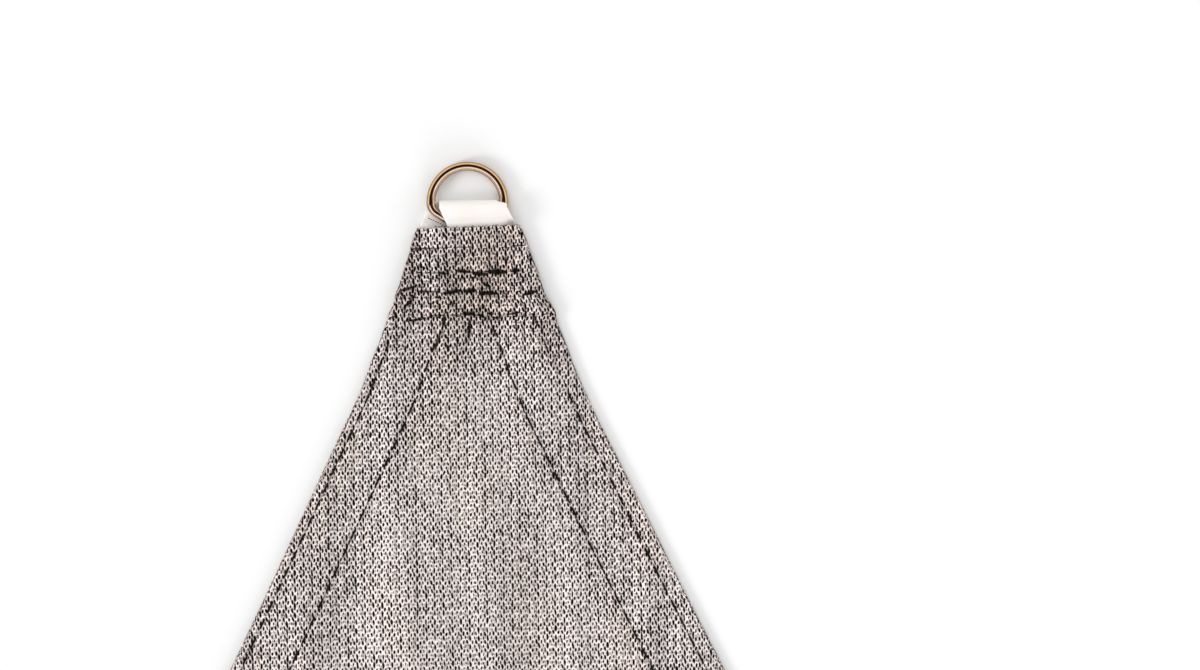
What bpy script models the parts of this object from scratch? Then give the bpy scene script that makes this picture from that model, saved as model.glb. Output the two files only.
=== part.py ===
"""Triangular shade sail of knitted cloth, laid out flat with its face up.

Each blunt corner has a folded webbing strap, sewn in between the cloth and its two hems, and
a loose welded D-ring. Metres, +Z up. The photographed corner points along +Y.

A corner is described in its own flat frame: "along" is the distance from the cloth's cut end
towards the middle of the sail, "across" is the distance to the right of the corner's axis as
seen from the face with the tip up, and "high" is the height above the ground.
"""

import math

import bmesh
import bpy
from mathutils import Matrix, Vector

MM = 0.001

# The sail as cut: an equal-sided triangle whose sides are slightly hollow.
SIDE = 2000 * MM
HOLLOW = 49.4 * MM
TIP_CUT_OFF = 50 * MM
CLOTH_THICK = 1.2 * MM
GAP = 0.3 * MM

# The blunt tip is bunched up, so it is wider than the sides' curves alone would make it.
TIP_SPREAD = 10.5 * MM
TIP_SPREAD_REACH = 100 * MM
TIP_SPREAD_POWER = 1.15
TIP_ROUNDING = 1.2 * MM
TIP_ROUNDING_REACH = 4 * MM

# The hems turn under. They are cut a little unevenly: seen from the face with a tip up, the
# left one is narrower there than the right one.
HEM_LEFT = 44 * MM
HEM_RIGHT = 50 * MM
HEM_MIDDLE = 47 * MM
HEM_STEP = 8.5 * MM
HEM_STEP_MARGIN = 0.6 * MM
HEM_AIR = 0.4 * MM
HEM_FOLD_DEPTH = 1.1
HEM_NOTCH = 23 * MM
HEM_NOTCH_FADE = 60 * MM
MITRE_GAP = 0.35 * MM

# Four seams across each corner gather the cloth into bulges between them.
CROSS_SEAMS = (14 * MM, 28 * MM, 40 * MM, 55 * MM)
# The bulge after each seam but the last: height, share that waves, waves per metre, phase.
BULGES = (
    (1.2 * MM, 0.25, 36, 0.4),
    (2.0 * MM, 0.35, 47, 2.1),
    (2.4 * MM, 0.40, 41, 4.0),
)
# Each soft fold that fans out below the seams: across at its start, across at its end, end
# along, height.
FAN_START = CROSS_SEAMS[-1]
FAN_FOLDS = (
    (-30 * MM, -46 * MM, 120 * MM, 1.8 * MM),
    (-11 * MM, -15 * MM, 105 * MM, 2.4 * MM),
    (3 * MM, 3 * MM, 110 * MM, 2.0 * MM),
    (17 * MM, 24 * MM, 115 * MM, 2.6 * MM),
    (34 * MM, 50 * MM, 125 * MM, 1.6 * MM),
)
FAN_FOLD_WIDTH = 6.5 * MM
# Bulges and folds stop short of the hem's folded edge.
CROWN_START = 3 * MM
CROWN_RISE = 9 * MM

# The webbing strap: a back leg that goes into the left hem and a front leg that goes into the
# right one, joined by a fold that holds the ring.
STRAP_THICK = 1.4 * MM
STRAP_BRIDGE = 7.9 * MM
STRAP_FOLD_TIP = -16.6 * MM
STRAP_END = 52 * MM
STRAP_END_MARGIN = 1 * MM
STRAP_END_FADE = 14 * MM
FOLD_RIGHT_EDGE = 16.3 * MM
# The fold's left edge comes in over the first part of its turn, and its right edge flares out
# to the front leg's over the last part.
FOLD_LEFT_RUN = 0.5
FLARE_START = 0.67
FLARE_RUN = 0.18
# Each leg's edges: along, left edge across, right edge across.
BACK_LEG = (
    (-11.8 * MM, -24.5 * MM, 15.2 * MM),
    (-8 * MM, -28.3 * MM, 12.4 * MM),
    (-4 * MM, -30.4 * MM, 10.8 * MM),
    (-1.2 * MM, -31.6 * MM, 9.5 * MM),
    (0 * MM, -29.8 * MM, 9.0 * MM),
    (10 * MM, -33.2 * MM, 5.5 * MM),
    (25 * MM, -38.5 * MM, 0.0 * MM),
    (40 * MM, -43.0 * MM, -5.5 * MM),
    (52 * MM, -46.5 * MM, -9.5 * MM),
)
FRONT_LEG = (
    (-11.8 * MM, -19.4 * MM, 22.4 * MM),
    (-8 * MM, -17.8 * MM, 24.3 * MM),
    (-4 * MM, -15.9 * MM, 26.2 * MM),
    (0 * MM, -14.2 * MM, 28.1 * MM),
    (10 * MM, -9.6 * MM, 31.8 * MM),
    (25 * MM, -2.5 * MM, 37.5 * MM),
    (40 * MM, 4.5 * MM, 43.0 * MM),
    (52 * MM, 9.5 * MM, 46.5 * MM),
)
LEG_ROWS = tuple(
    row * MM for row in (-8, -4, -1.2, 0, 4, 8.6, 12.4, 16, 20, 25, 30, 35, 40, 46, 52)
)
FOLD_TURNS = 6
STRAP_COLUMNS = 6
# Over the ring the front leg stays on the bridge, then drops to the layer below it.
BRIDGE_END = 8.6 * MM
BRIDGE_FOOT = 12.4 * MM
LAP_RAMP = 7 * MM
LAP_MARGIN = 0.7 * MM
CLOTH_RAMP = 11 * MM
CLOTH_SPAN_ALONG = 1.8 * MM
CLOTH_SPAN_ACROSS = 5 * MM
CLOTH_AIR = 0.5 * MM
LEG_MARGIN = 4.5 * MM
WIRE_MARGIN = 2 * MM
WIRE_RIGHT = 12 * MM
BRIDGE_RAMP = 7 * MM
# Outside the cloth the whole leg is on the bridge; its right side comes down on the way in.
BRIDGE_SIDE_START = -7 * MM
BRIDGE_SIDE_RUN = 6 * MM
NOTCH_RAMP = 7 * MM
NOTCH_MARGIN = 4 * MM

# The D-ring, of 5.5 mm wire and 39 mm clear width, lies turned in its loop.
WIRE = 5.5 * MM
RING_RADIUS = 22.4 * MM
RING_BAR_DROP = 15.5 * MM
RING_CORNER = 7 * MM
RING_TURN = math.radians(32)
RING_ALONG = -15.2 * MM
RING_ACROSS = -2.2 * MM
RING_BAR_HIGH = 4.85 * MM
RING_FAR_HIGH = WIRE / 2
RING_ARC_STEPS = 22
RING_CORNER_STEPS = 4
RING_BAR_STEPS = 3

# Rows of the cloth, by where they meet the hem's edge, and columns, by their distance from it
# and the share of the half-width that they keep to where the corner is narrow.
ROWS = tuple(
    row * MM
    for row in (
        *(0, 4, 9, 14, 17, 20.5, 24.5, 28, 31, 34, 37, 40, 43.5, 47.5, 51.5, 55, 59, 64),
        *(71, 80, 92, 108, 130, 160, 205, 270, 360, 480, 600, 720),
    )
)
COLUMNS = ((7 * MM, 1 / 7), (18 * MM, 2 / 7), (32 * MM, 3 / 7))
HEM_COLUMNS = ((1 * MM, 4 / 7), (HEM_STEP + 1 * MM, 5 / 7))
OPEN_COLUMNS = (6 / 7, 1.0)
FLAP_SHARES = (0.5, 1.0)
EDGE_TURNS = 4

STRAIGHT_ROWS = 300 * MM
SMALL = 0.01 * MM
HALF_CORNER = math.radians(30)
CURVE = 4 * HOLLOW / SIDE
REACH = SIDE / math.sqrt(3) - TIP_CUT_OFF
CORNERS = {"top": 0.0, "left": math.radians(120), "right": math.radians(240)}


def smooth(value):
    """Runs from 0 to 1 as the value does, level at both ends."""
    value = min(max(value, 0.0), 1.0)
    return value * value * (3 - 2 * value)


def read_table(table, along, column):
    """Reads one column of a leg's table at a distance along the corner."""
    if along <= table[0][0]:
        return table[0][column]
    for before, after in zip(table, table[1:]):
        if along <= after[0]:
            share = (along - before[0]) / (after[0] - before[0])
            return before[column] + share * (after[column] - before[column])
    return table[-1][column]


def side_run(along):
    """Distance along a side's straight chord at which its hollow curve is this far along."""
    bend = CURVE * math.sin(HALF_CORNER) / SIDE
    rise = math.cos(HALF_CORNER) + CURVE * math.sin(HALF_CORNER)
    return (rise - math.sqrt(rise**2 - 4 * bend * (along + TIP_CUT_OFF))) / (2 * bend)


def half_width(along):
    """Half the sail's width at a distance along the corner."""
    run = side_run(along)
    hollow = CURVE * run * (1 - run / SIDE)
    plain = run * math.sin(HALF_CORNER) - hollow * math.cos(HALF_CORNER)
    spread = TIP_SPREAD * max(0.0, 1 - along / TIP_SPREAD_REACH) ** TIP_SPREAD_POWER
    rounding = TIP_ROUNDING * max(0.0, 1 - along / TIP_ROUNDING_REACH) ** 2
    return plain + spread - rounding


def last_row():
    """Distance along the corner at which the middle of a side lies."""
    chord = SIDE / 2 * math.cos(HALF_CORNER)
    return chord + HOLLOW * math.sin(HALF_CORNER) - TIP_CUT_OFF


def row_line(along):
    """A row's start on the sail's edge, its way to the corner's axis and the edge's normal."""
    edge = Vector((along, half_width(along)))
    turn = smooth((along - STRAIGHT_ROWS) / (last_row() - STRAIGHT_ROWS))
    middle = Vector((along + turn * (REACH - last_row()), 0.0))
    after = Vector((along + SMALL, half_width(along + SMALL)))
    ahead = (after - edge).normalized()
    return edge, middle - edge, Vector((ahead.y, -ahead.x))


def hem_width(along, side):
    """Width of the hem on one side of a corner, -1 for the left and 1 for the right."""
    at_tip = HEM_RIGHT if side > 0 else HEM_LEFT
    return at_tip + (HEM_MIDDLE - at_tip) * along / last_row()


def notch_line(across):
    """Where the hems' slanted ends lie along the corner."""
    return HEM_NOTCH * max(0.0, 1 - abs(across) / half_width(0.0))


def back_leg_high(along, across):
    """Underside of the strap's back leg: on the ground, then over the hems' ends."""
    level = CLOTH_THICK + GAP
    return level * (1 - smooth((notch_line(across) - along - NOTCH_MARGIN) / NOTCH_RAMP))


def bridge(along, across):
    """1 where the front leg lies over the ring's wire, 0 where it is clear of it."""
    down = 1 - min(max((along - BRIDGE_END) / (BRIDGE_FOOT - BRIDGE_END), 0.0), 1.0)
    below = min(along - RING_ALONG, RING_RADIUS)
    wire = RING_ACROSS + math.sqrt(RING_RADIUS**2 - max(below, 0.0) ** 2)
    clear = max(wire + WIRE / 2 + WIRE_MARGIN, WIRE_RIGHT)
    beside = smooth((across - clear) / BRIDGE_RAMP)
    return down * (1 - beside * smooth((along - BRIDGE_SIDE_START) / BRIDGE_SIDE_RUN))


def front_leg_high(along, across):
    """Underside of the strap's front leg."""
    lap = 1 - smooth((across - read_table(BACK_LEG, along, 2) - LAP_MARGIN) / LAP_RAMP)
    level = CLOTH_THICK + GAP + lap * (STRAP_THICK + GAP)
    return level + (STRAP_BRIDGE - level) * bridge(along, across)


def highest_front_leg(along, across):
    """The most that the front leg rises under a small patch of the cloth, which spans it."""
    spots = [
        (along + row * CLOTH_SPAN_ALONG, across + column * CLOTH_SPAN_ACROSS)
        for row in (-1, 0, 1)
        for column in (-1, 0, 1)
    ]
    return max(front_leg_high(*spot) for spot in spots)


def seam_bulge(along, across):
    """Height of the bulges between the cross seams."""
    high = 0.0
    for before, after, bulge in zip(CROSS_SEAMS, CROSS_SEAMS[1:], BULGES):
        if before < along < after:
            most, uneven, waves, phase = bulge
            rise = math.sin(math.pi * (along - before) / (after - before)) ** 2
            wave = math.sin(2 * math.pi * waves * across + phase)
            high += most * rise * (1 - uneven + uneven * wave)
    return high


def fan_folds(along, across):
    """Height of the soft folds that fan out below the last seam."""
    high = 0.0
    for start, end, end_along, most in FAN_FOLDS:
        share = (along - FAN_START) / (end_along - FAN_START)
        if 0.0 < share < 1.0:
            middle = start + share * (end - start)
            beside = (across - middle) / (FAN_FOLD_WIDTH * (1 + share))
            high += most * math.exp(-(beside**2)) * math.sin(math.pi * share**0.5) ** 2
    return high


def cloth_high(along, across, from_edge, hem):
    """Underside of the sail's upper sheet."""
    high = (CLOTH_THICK + HEM_AIR) * (1 - smooth((from_edge - hem - HEM_STEP_MARGIN) / HEM_STEP))
    fade = 1 - smooth((along - STRAP_END - STRAP_END_MARGIN) / STRAP_END_FADE)
    if fade > 0.0:
        left = read_table(FRONT_LEG, along, 1) - LEG_MARGIN
        over_front = smooth((across - left + CLOTH_RAMP) / CLOTH_RAMP)
        one_leg = CLOTH_THICK + GAP
        level = one_leg + over_front * (highest_front_leg(along, across) - one_leg)
        high = max(high, fade * (level + STRAP_THICK + CLOTH_AIR))
    return high + (seam_bulge(along, across) + fan_folds(along, across)) * crown(from_edge)


def crown(from_edge):
    """Keeps the bulges and folds away from the hem's folded edge."""
    return smooth((from_edge - CROWN_START) / CROWN_RISE)


def top_half_row(along, side):
    """Points of a row's upper sheet from the hem's fold to the axis: place and way out."""
    edge, way, normal = row_line(along)
    hem = hem_width(along, side)
    depth = way.dot(normal)
    near = list(COLUMNS) + [(hem + distance, share) for distance, share in HEM_COLUMNS]
    shares = [min(distance / depth, share) for distance, share in near] + list(OPEN_COLUMNS)
    points = []
    for share in shares:
        place = edge + way * share
        across = side * place.y
        high = cloth_high(place.x, across, depth * share, hem) + CLOTH_THICK / 2
        points.append((Vector((place.x, across, high)), Vector((0, 0, 1))))
    return points


def fold_half_row(along, side):
    """Points round the hem's folded edge, from above to below."""
    edge, _, normal = row_line(along)
    hem = hem_width(along, side)
    upper = cloth_high(along, side * edge.y, 0.0, hem) + CLOTH_THICK / 2
    lower = CLOTH_THICK / 2
    tall = (upper - lower) / 2
    deep = HEM_FOLD_DEPTH * tall
    rim = edge + normal * (CLOTH_THICK / 2)
    points = []
    for step in range(EDGE_TURNS + 1):
        angle = math.pi / 2 - math.pi * step / EDGE_TURNS
        inward = deep * (1 - math.cos(angle))
        place = rim + normal * inward
        high = (upper + lower) / 2 + tall * math.sin(angle)
        out = Vector((*(-normal * math.cos(angle)), math.sin(angle)))
        point = Vector((place.x, side * place.y, high))
        points.append((point, Vector((out.x, side * out.y, out.z))))
    return points


def flap_half_row(along, side):
    """Points of the hem's turned-under flap, from the folded edge inwards."""
    points = []
    for flap_share in FLAP_SHARES:
        _, way, normal = row_line(along)
        share = min(flap_share * hem_width(along, side) / way.dot(normal), flap_share)
        slant = HEM_NOTCH * share * max(0.0, 1 - along / HEM_NOTCH_FADE)
        edge, way, normal = row_line(along + slant)
        limit = flap_share * (1 - MITRE_GAP / way.length)
        share = min(flap_share * hem_width(along, side) / way.dot(normal), limit)
        place = edge + way * share
        point = Vector((place.x, side * place.y, CLOTH_THICK / 2))
        points.append((point, Vector((0, 0, -1))))
    return points


def cloth_row(along):
    """All points of a row, from the left flap over the face to the right flap."""
    halves = []
    for side in (-1, 1):
        fold = fold_half_row(along, side)
        halves.append((flap_half_row(along, side)[::-1], fold[::-1], top_half_row(along, side)))
    left_flap, left_fold, left_top = halves[0]
    right_flap, right_fold, right_top = halves[1]
    middle = left_top + right_top[-2::-1]
    return left_flap + left_fold + middle + right_fold[::-1] + right_flap[::-1]


def to_sail(point, turn):
    """Turns a corner's point (along, across, high) into the sail's own frame."""
    return Matrix.Rotation(turn, 3, "Z") @ Vector((point.y, REACH - point.x, point.z))


def add_sheet(form, outer, inner, open_end):
    """Adds a sheet of rows of points, its far side and the rims between them."""
    layers = []
    for layer in (outer, inner):
        layers.append([[form.verts.new(point) for point in row] for row in layer])
    rows, columns = len(outer), len(outer[0])
    for layer, flip in zip(layers, (False, True)):
        for row in range(rows - 1):
            for column in range(columns - 1):
                ring = [
                    layer[row][column],
                    layer[row + 1][column],
                    layer[row + 1][column + 1],
                    layer[row][column + 1],
                ]
                form.faces.new(ring[::-1] if flip else ring)
    rims = [([row[0] for row in layers[0]], [row[0] for row in layers[1]])]
    rims.append(([row[-1] for row in layers[0]], [row[-1] for row in layers[1]]))
    rims.append((layers[0][0], layers[1][0]))
    if not open_end:
        rims.append((layers[0][-1], layers[1][-1]))
    for upper, lower in rims:
        for step in range(len(upper) - 1):
            form.faces.new((upper[step], upper[step + 1], lower[step + 1], lower[step]))


def finish_mesh(name, form, material):
    """Turns a bmesh into a named object with its material."""
    bmesh.ops.recalc_face_normals(form, faces=form.faces)
    mesh = bpy.data.meshes.new(name)
    form.to_mesh(mesh)
    form.free()
    mesh.shade_smooth()
    mesh.set_sharp_from_angle(angle=math.radians(50))
    mesh.materials.append(material)
    thing = bpy.data.objects.new(name, mesh)
    bpy.context.scene.collection.objects.link(thing)
    return thing


def make_cloth(material):
    """The sail's cloth with its hems: three like sectors, joined at the sides' middles."""
    form = bmesh.new()
    rows = [cloth_row(along) for along in (*ROWS, last_row())]
    half = CLOTH_THICK / 2
    for turn in CORNERS.values():
        outer = [[to_sail(place + out * half, turn) for place, out in row] for row in rows]
        inner = [[to_sail(place - out * half, turn) for place, out in row] for row in rows]
        add_sheet(form, outer, inner, open_end=True)
    bmesh.ops.remove_doubles(form, verts=form.verts, dist=SMALL)
    return finish_mesh("sail_cloth", form, material)


def strap_rows():
    """Rows of the strap's under and upper sides, from the back leg's end to the front leg's."""
    rows = []
    for along in reversed(LEG_ROWS):
        edges = [read_table(BACK_LEG, along, column) for column in (1, 2)]
        rows.append(leg_row(along, edges, back_leg_high, upside_down=False))
    centre_high = (STRAP_BRIDGE + STRAP_THICK) / 2
    centre_along = STRAP_FOLD_TIP + centre_high
    for step in range(FOLD_TURNS + 1):
        share = step / FOLD_TURNS
        angle = math.pi * share
        drawn_in = smooth(share / FOLD_LEFT_RUN)
        left = BACK_LEG[0][1] + drawn_in * (FRONT_LEG[0][1] - BACK_LEG[0][1])
        flare = smooth((share - FLARE_START) / FLARE_RUN)
        right = FOLD_RIGHT_EDGE + flare * (FRONT_LEG[0][2] - FOLD_RIGHT_EDGE)
        row = []
        for column in range(STRAP_COLUMNS + 1):
            across = left + (right - left) * column / STRAP_COLUMNS
            pair = []
            for radius in (centre_high, centre_high - STRAP_THICK):
                along = centre_along - radius * math.sin(angle)
                high = centre_high - radius * math.cos(angle)
                pair.append(Vector((along, across, high)))
            row.append(pair)
        rows.append(row)
    for along in LEG_ROWS:
        edges = [read_table(FRONT_LEG, along, column) for column in (1, 2)]
        rows.append(leg_row(along, edges, front_leg_high, upside_down=True))
    return rows


def leg_row(along, edges, high_at, upside_down):
    """One row across a leg: pairs of points on the strap's outer and inner side."""
    row = []
    for column in range(STRAP_COLUMNS + 1):
        across = edges[0] + (edges[1] - edges[0]) * column / STRAP_COLUMNS
        high = high_at(along, across)
        low = Vector((along, across, high))
        top = Vector((along, across, high + STRAP_THICK))
        row.append([top, low] if upside_down else [low, top])
    return row


def make_strap(name, turn, material):
    """One corner's folded webbing strap."""
    form = bmesh.new()
    rows = strap_rows()
    outer = [[to_sail(pair[0], turn) for pair in row] for row in rows]
    inner = [[to_sail(pair[1], turn) for pair in row] for row in rows]
    add_sheet(form, outer, inner, open_end=False)
    return finish_mesh(name, form, material)


def ring_outline():
    """The D's centre line in its own flat frame: round end up, bar below."""
    corner_down = RING_BAR_DROP - RING_CORNER
    corner_out = math.sqrt((RING_RADIUS - RING_CORNER) ** 2 - corner_down**2)
    past = math.atan2(corner_down, corner_out)
    outline = []
    for step in range(RING_ARC_STEPS + 1):
        angle = -past + (math.pi + 2 * past) * step / RING_ARC_STEPS
        outline.append((RING_RADIUS * math.cos(angle), RING_RADIUS * math.sin(angle)))
    for step in range(1, RING_CORNER_STEPS + 1):
        angle = math.pi + past + (math.pi / 2 - past) * step / RING_CORNER_STEPS
        x = -corner_out + RING_CORNER * math.cos(angle)
        outline.append((x, -corner_down + RING_CORNER * math.sin(angle)))
    for step in range(1, RING_BAR_STEPS + 1):
        x = -corner_out + 2 * corner_out * step / RING_BAR_STEPS
        outline.append((x, -RING_BAR_DROP))
    for step in range(1, RING_CORNER_STEPS):
        angle = -math.pi / 2 + (math.pi / 2 - past) * step / RING_CORNER_STEPS
        x = corner_out + RING_CORNER * math.cos(angle)
        outline.append((x, -corner_down + RING_CORNER * math.sin(angle)))
    return outline


def ring_point(x, y):
    """A point of the D as it lies in its corner: turned, with its far end on the ground."""
    across = x * math.cos(RING_TURN) + y * math.sin(RING_TURN)
    up = -x * math.sin(RING_TURN) + y * math.cos(RING_TURN)
    share = (y + RING_BAR_DROP) / (RING_RADIUS + RING_BAR_DROP)
    high = RING_BAR_HIGH + share * (RING_FAR_HIGH - RING_BAR_HIGH)
    return Vector((RING_ALONG - up, RING_ACROSS + across, high))


def make_ring(name, turn, material):
    """One corner's D-ring, a closed loop of round wire."""
    curve = bpy.data.curves.new(name, "CURVE")
    curve.dimensions = "3D"
    curve.bevel_depth = WIRE / 2
    curve.bevel_resolution = 3
    outline = ring_outline()
    line = curve.splines.new("POLY")
    line.points.add(len(outline) - 1)
    line.use_cyclic_u = True
    for place, (x, y) in zip(line.points, outline):
        place.co = (*to_sail(ring_point(x, y), turn), 1.0)
    curve.materials.append(material)
    thing = bpy.data.objects.new(name, curve)
    bpy.context.scene.collection.objects.link(thing)
    return thing


def make_material(name, colour, roughness, metallic):
    """A plain Principled finish."""
    material = bpy.data.materials.new(name)
    material.use_nodes = True
    shader = material.node_tree.nodes["Principled BSDF"]
    shader.inputs["Base Color"].default_value = (*colour, 1.0)
    shader.inputs["Roughness"].default_value = roughness
    shader.inputs["Metallic"].default_value = metallic
    material.diffuse_color = (*colour, 1.0)
    return material


def centre_footprint(things):
    """Moves everything together so that the footprint's box is centred on the origin."""
    bpy.context.view_layer.update()
    corners = [
        thing.matrix_world @ Vector(corner) for thing in things for corner in thing.bound_box
    ]
    middle_x = (min(c.x for c in corners) + max(c.x for c in corners)) / 2
    middle_y = (min(c.y for c in corners) + max(c.y for c in corners)) / 2
    for thing in things:
        thing.location = (-middle_x, -middle_y, 0.0)


def clear_scene():
    """Removes whatever the scene holds."""
    for thing in list(bpy.data.objects):
        bpy.data.objects.remove(thing, do_unlink=True)


def main():
    clear_scene()
    things = [make_cloth(make_material("knitted_cloth", (0.42, 0.39, 0.375), 0.85, 0.0))]
    for place, turn in CORNERS.items():
        webbing = make_material(f"webbing_{place}", (0.93, 0.90, 0.88), 0.8, 0.0)
        things.append(make_strap(f"strap_{place}", turn, webbing))
        steel = make_material(f"steel_{place}", (0.56, 0.53, 0.49), 0.18, 1.0)
        things.append(make_ring(f"ring_{place}", turn, steel))
    centre_footprint(things)


main()
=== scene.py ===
"""Knitted triangular shade sail with webbing corner straps and loose steel D-rings.

The sail lies flat with its face up. All sizes are metres. A corner is described in its own flat
frame: "along" runs from the cloth's cut end towards the sail's middle, "across" runs to the
right of the corner's axis as seen from the face with the tip up, and "high" is the height.
"""

import logging
import math
import random
from dataclasses import dataclass, field
from enum import Enum
from typing import Callable, Iterable, Sequence

import bmesh
import bpy
from mathutils import Matrix, Vector


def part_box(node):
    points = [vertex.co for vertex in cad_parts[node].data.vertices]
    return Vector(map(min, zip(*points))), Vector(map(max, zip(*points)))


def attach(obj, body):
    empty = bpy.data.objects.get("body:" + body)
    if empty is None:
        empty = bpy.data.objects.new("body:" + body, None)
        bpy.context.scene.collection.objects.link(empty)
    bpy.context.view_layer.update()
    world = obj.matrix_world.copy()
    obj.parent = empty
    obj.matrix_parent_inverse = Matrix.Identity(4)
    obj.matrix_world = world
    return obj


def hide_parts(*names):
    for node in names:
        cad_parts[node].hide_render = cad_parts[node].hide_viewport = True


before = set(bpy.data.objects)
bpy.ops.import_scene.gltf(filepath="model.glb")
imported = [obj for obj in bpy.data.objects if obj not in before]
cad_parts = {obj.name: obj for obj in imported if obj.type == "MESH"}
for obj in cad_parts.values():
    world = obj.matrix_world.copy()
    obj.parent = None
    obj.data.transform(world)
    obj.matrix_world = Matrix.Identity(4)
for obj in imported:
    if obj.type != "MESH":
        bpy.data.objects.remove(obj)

MM = 0.001
LOG = logging.getLogger("shade_sail")
CLOTH_THICK = 1.2 * MM
WIRE = 5.5 * MM
RING_RADIUS = 22.4 * MM
RING_ALONG = -15.2 * MM
RING_ACROSS = -2.2 * MM
HALF_CORNER = math.radians(30)
# Two points nearer than this are one point.
SAME_POINT = 0.01 * MM
Colour = tuple[float, float, float]
# A place of the cloth: outer point, inner point, pinch, bunching and coolness.
# Pinch and bunching also set how much shade the knit's material paints there.
ClothSpot = tuple[Vector, Vector, float, float, float]
# A place of the webbing: outer point, inner point and place on the flat webbing.
WebSpot = tuple[Vector, Vector, tuple[float, float]]


class Corner(Enum):
    """The sail's three corners, by the turn that brings the top one onto each."""

    TOP = 0.0
    LEFT = 120.0
    RIGHT = 240.0

    @property
    def word(self) -> str:
        """The corner's name as used in node and piece names."""
        return self.name.lower()


class KnitSide(Enum):
    """Which side of the knitted cloth a finish shows."""

    FACE = "face"
    REVERSE = "reverse"
    HEM = "hem"


class StitchLine(Enum):
    """The two lines of stitches that run along each hem."""

    OUTER = "outer"
    INNER = "inner"


def smooth(value: float) -> float:
    """Runs from 0 to 1 as the value does, level at both ends."""
    value = min(max(value, 0.0), 1.0)
    return value * value * (3 - 2 * value)


def bell(distance: float, half: float) -> float:
    """A soft bump of height 1 that has faded to a third at the given half width."""
    return math.exp(-((distance / half) ** 2))


def between(table: Sequence[Sequence[float]], along: float, column: int) -> float:
    """Reads one column of a table in millimetres at a place along the corner.

    Args:
        table: Rows that start with their distance along, in millimetres.
        along: Place to read at, in metres.
        column: Which column to read.

    Returns:
        The value there, in metres.
    """
    place = along / MM
    if place <= table[0][0]:
        return table[0][column] * MM
    for before, after in zip(table, table[1:]):
        if place <= after[0]:
            share = (place - before[0]) / (after[0] - before[0])
            return (before[column] + share * (after[column] - before[column])) * MM
    return table[-1][column] * MM


# The corner's shape


@dataclass(frozen=True)
class StrapShape:
    """Sizes and heights of a corner's folded webbing strap."""

    thick: float = 1.4 * MM
    bridge: float = 7.9 * MM
    fold_tip: float = -16.6 * MM
    end: float = 52 * MM
    fold_right_edge: float = 16.3 * MM
    fold_left_run: float = 0.5
    flare_start: float = 0.67
    flare_run: float = 0.18
    cloth_thick: float = CLOTH_THICK
    gap: float = 0.3 * MM
    bridge_end: float = 8.6 * MM
    bridge_foot: float = 12.4 * MM
    lap_ramp: float = 7 * MM
    lap_margin: float = 0.7 * MM
    wire_right: float = 12 * MM
    wire_margin: float = 2 * MM
    bridge_ramp: float = 7 * MM
    bridge_side_start: float = -7 * MM
    bridge_side_run: float = 6 * MM
    notch: float = 23 * MM
    notch_half: float = 32.1 * MM
    notch_ramp: float = 7 * MM
    notch_margin: float = 4 * MM
    # Each leg's edges in millimetres: along, left edge across, right edge across.
    back_leg: tuple[tuple[float, float, float], ...] = (
        (-11.8, -24.5, 15.2),
        (-8, -28.3, 12.4),
        (-4, -30.4, 10.8),
        (-1.2, -31.6, 9.5),
        (0, -29.8, 9.0),
        (10, -33.2, 5.5),
        (25, -38.5, 0.0),
        (40, -43.0, -5.5),
        (52, -46.5, -9.5),
    )
    front_leg: tuple[tuple[float, float, float], ...] = (
        (-11.8, -19.4, 22.4),
        (-8, -17.8, 24.3),
        (-4, -15.9, 26.2),
        (-1.2, -14.8, 27.5),
        (0, -14.2, 27.8),
        (10, -9.6, 29.8),
        (25, -2.5, 34.4),
        (40, 4.5, 39.4),
        (52, 9.5, 43.5),
    )

    def fold_edges(self, part: float) -> tuple[float, float]:
        """Left and right edge of the fold at a part of its turn, 0 behind and 1 in front.

        Args:
            part: Part of the turn.

        Returns:
            Where the two edges lie across the corner.
        """
        back, front = self.back_leg[0], self.front_leg[0]
        left = (back[1] + smooth(part / self.fold_left_run) * (front[1] - back[1])) * MM
        flare = smooth((part - self.flare_start) / self.flare_run)
        return left, self.fold_right_edge + flare * (front[2] * MM - self.fold_right_edge)

    def back_high(self, along: float, across: float) -> float:
        """Underside of the back leg: on the ground, then over the hems' ends.

        Args:
            along: Place along the corner.
            across: Place across the corner.

        Returns:
            The height.
        """
        notch = self.notch * max(0.0, 1 - abs(across) / self.notch_half)
        level = self.cloth_thick + self.gap
        return level * (1 - smooth((notch - along - self.notch_margin) / self.notch_ramp))

    def bridged(self, along: float, across: float) -> float:
        """1 where the front leg lies over the ring's wire, 0 where it is clear of it.

        Args:
            along: Place along the corner.
            across: Place across the corner.

        Returns:
            The share, from 0 to 1.
        """
        down = min(max((along - self.bridge_end) / (self.bridge_foot - self.bridge_end), 0), 1)
        below = max(min(along - RING_ALONG, RING_RADIUS), 0.0)
        wire = RING_ACROSS + math.sqrt(RING_RADIUS**2 - below**2)
        clear = max(wire + WIRE / 2 + self.wire_margin, self.wire_right)
        beside = smooth((across - clear) / self.bridge_ramp)
        inside = smooth((along - self.bridge_side_start) / self.bridge_side_run)
        return (1 - down) * (1 - beside * inside)

    def front_high(self, along: float, across: float) -> float:
        """Underside of the front leg.

        Args:
            along: Place along the corner.
            across: Place across the corner.

        Returns:
            The height.
        """
        right_of_back = across - between(self.back_leg, along, 2) - self.lap_margin
        lap = 1 - smooth(right_of_back / self.lap_ramp)
        level = self.cloth_thick + self.gap + lap * (self.thick + self.gap)
        return level + (self.bridge - level) * self.bridged(along, across)

    def highest_front(self, along: float, across: float) -> float:
        """The most that the front leg rises under a small patch of the cloth.

        Args:
            along: Place along the corner.
            across: Place across the corner.

        Returns:
            The height.
        """
        return max(
            self.front_high(along + row, across + column)
            for row in (-1.8 * MM, 0.0, 1.8 * MM)
            for column in (-5 * MM, 0.0, 5 * MM)
        )


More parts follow.
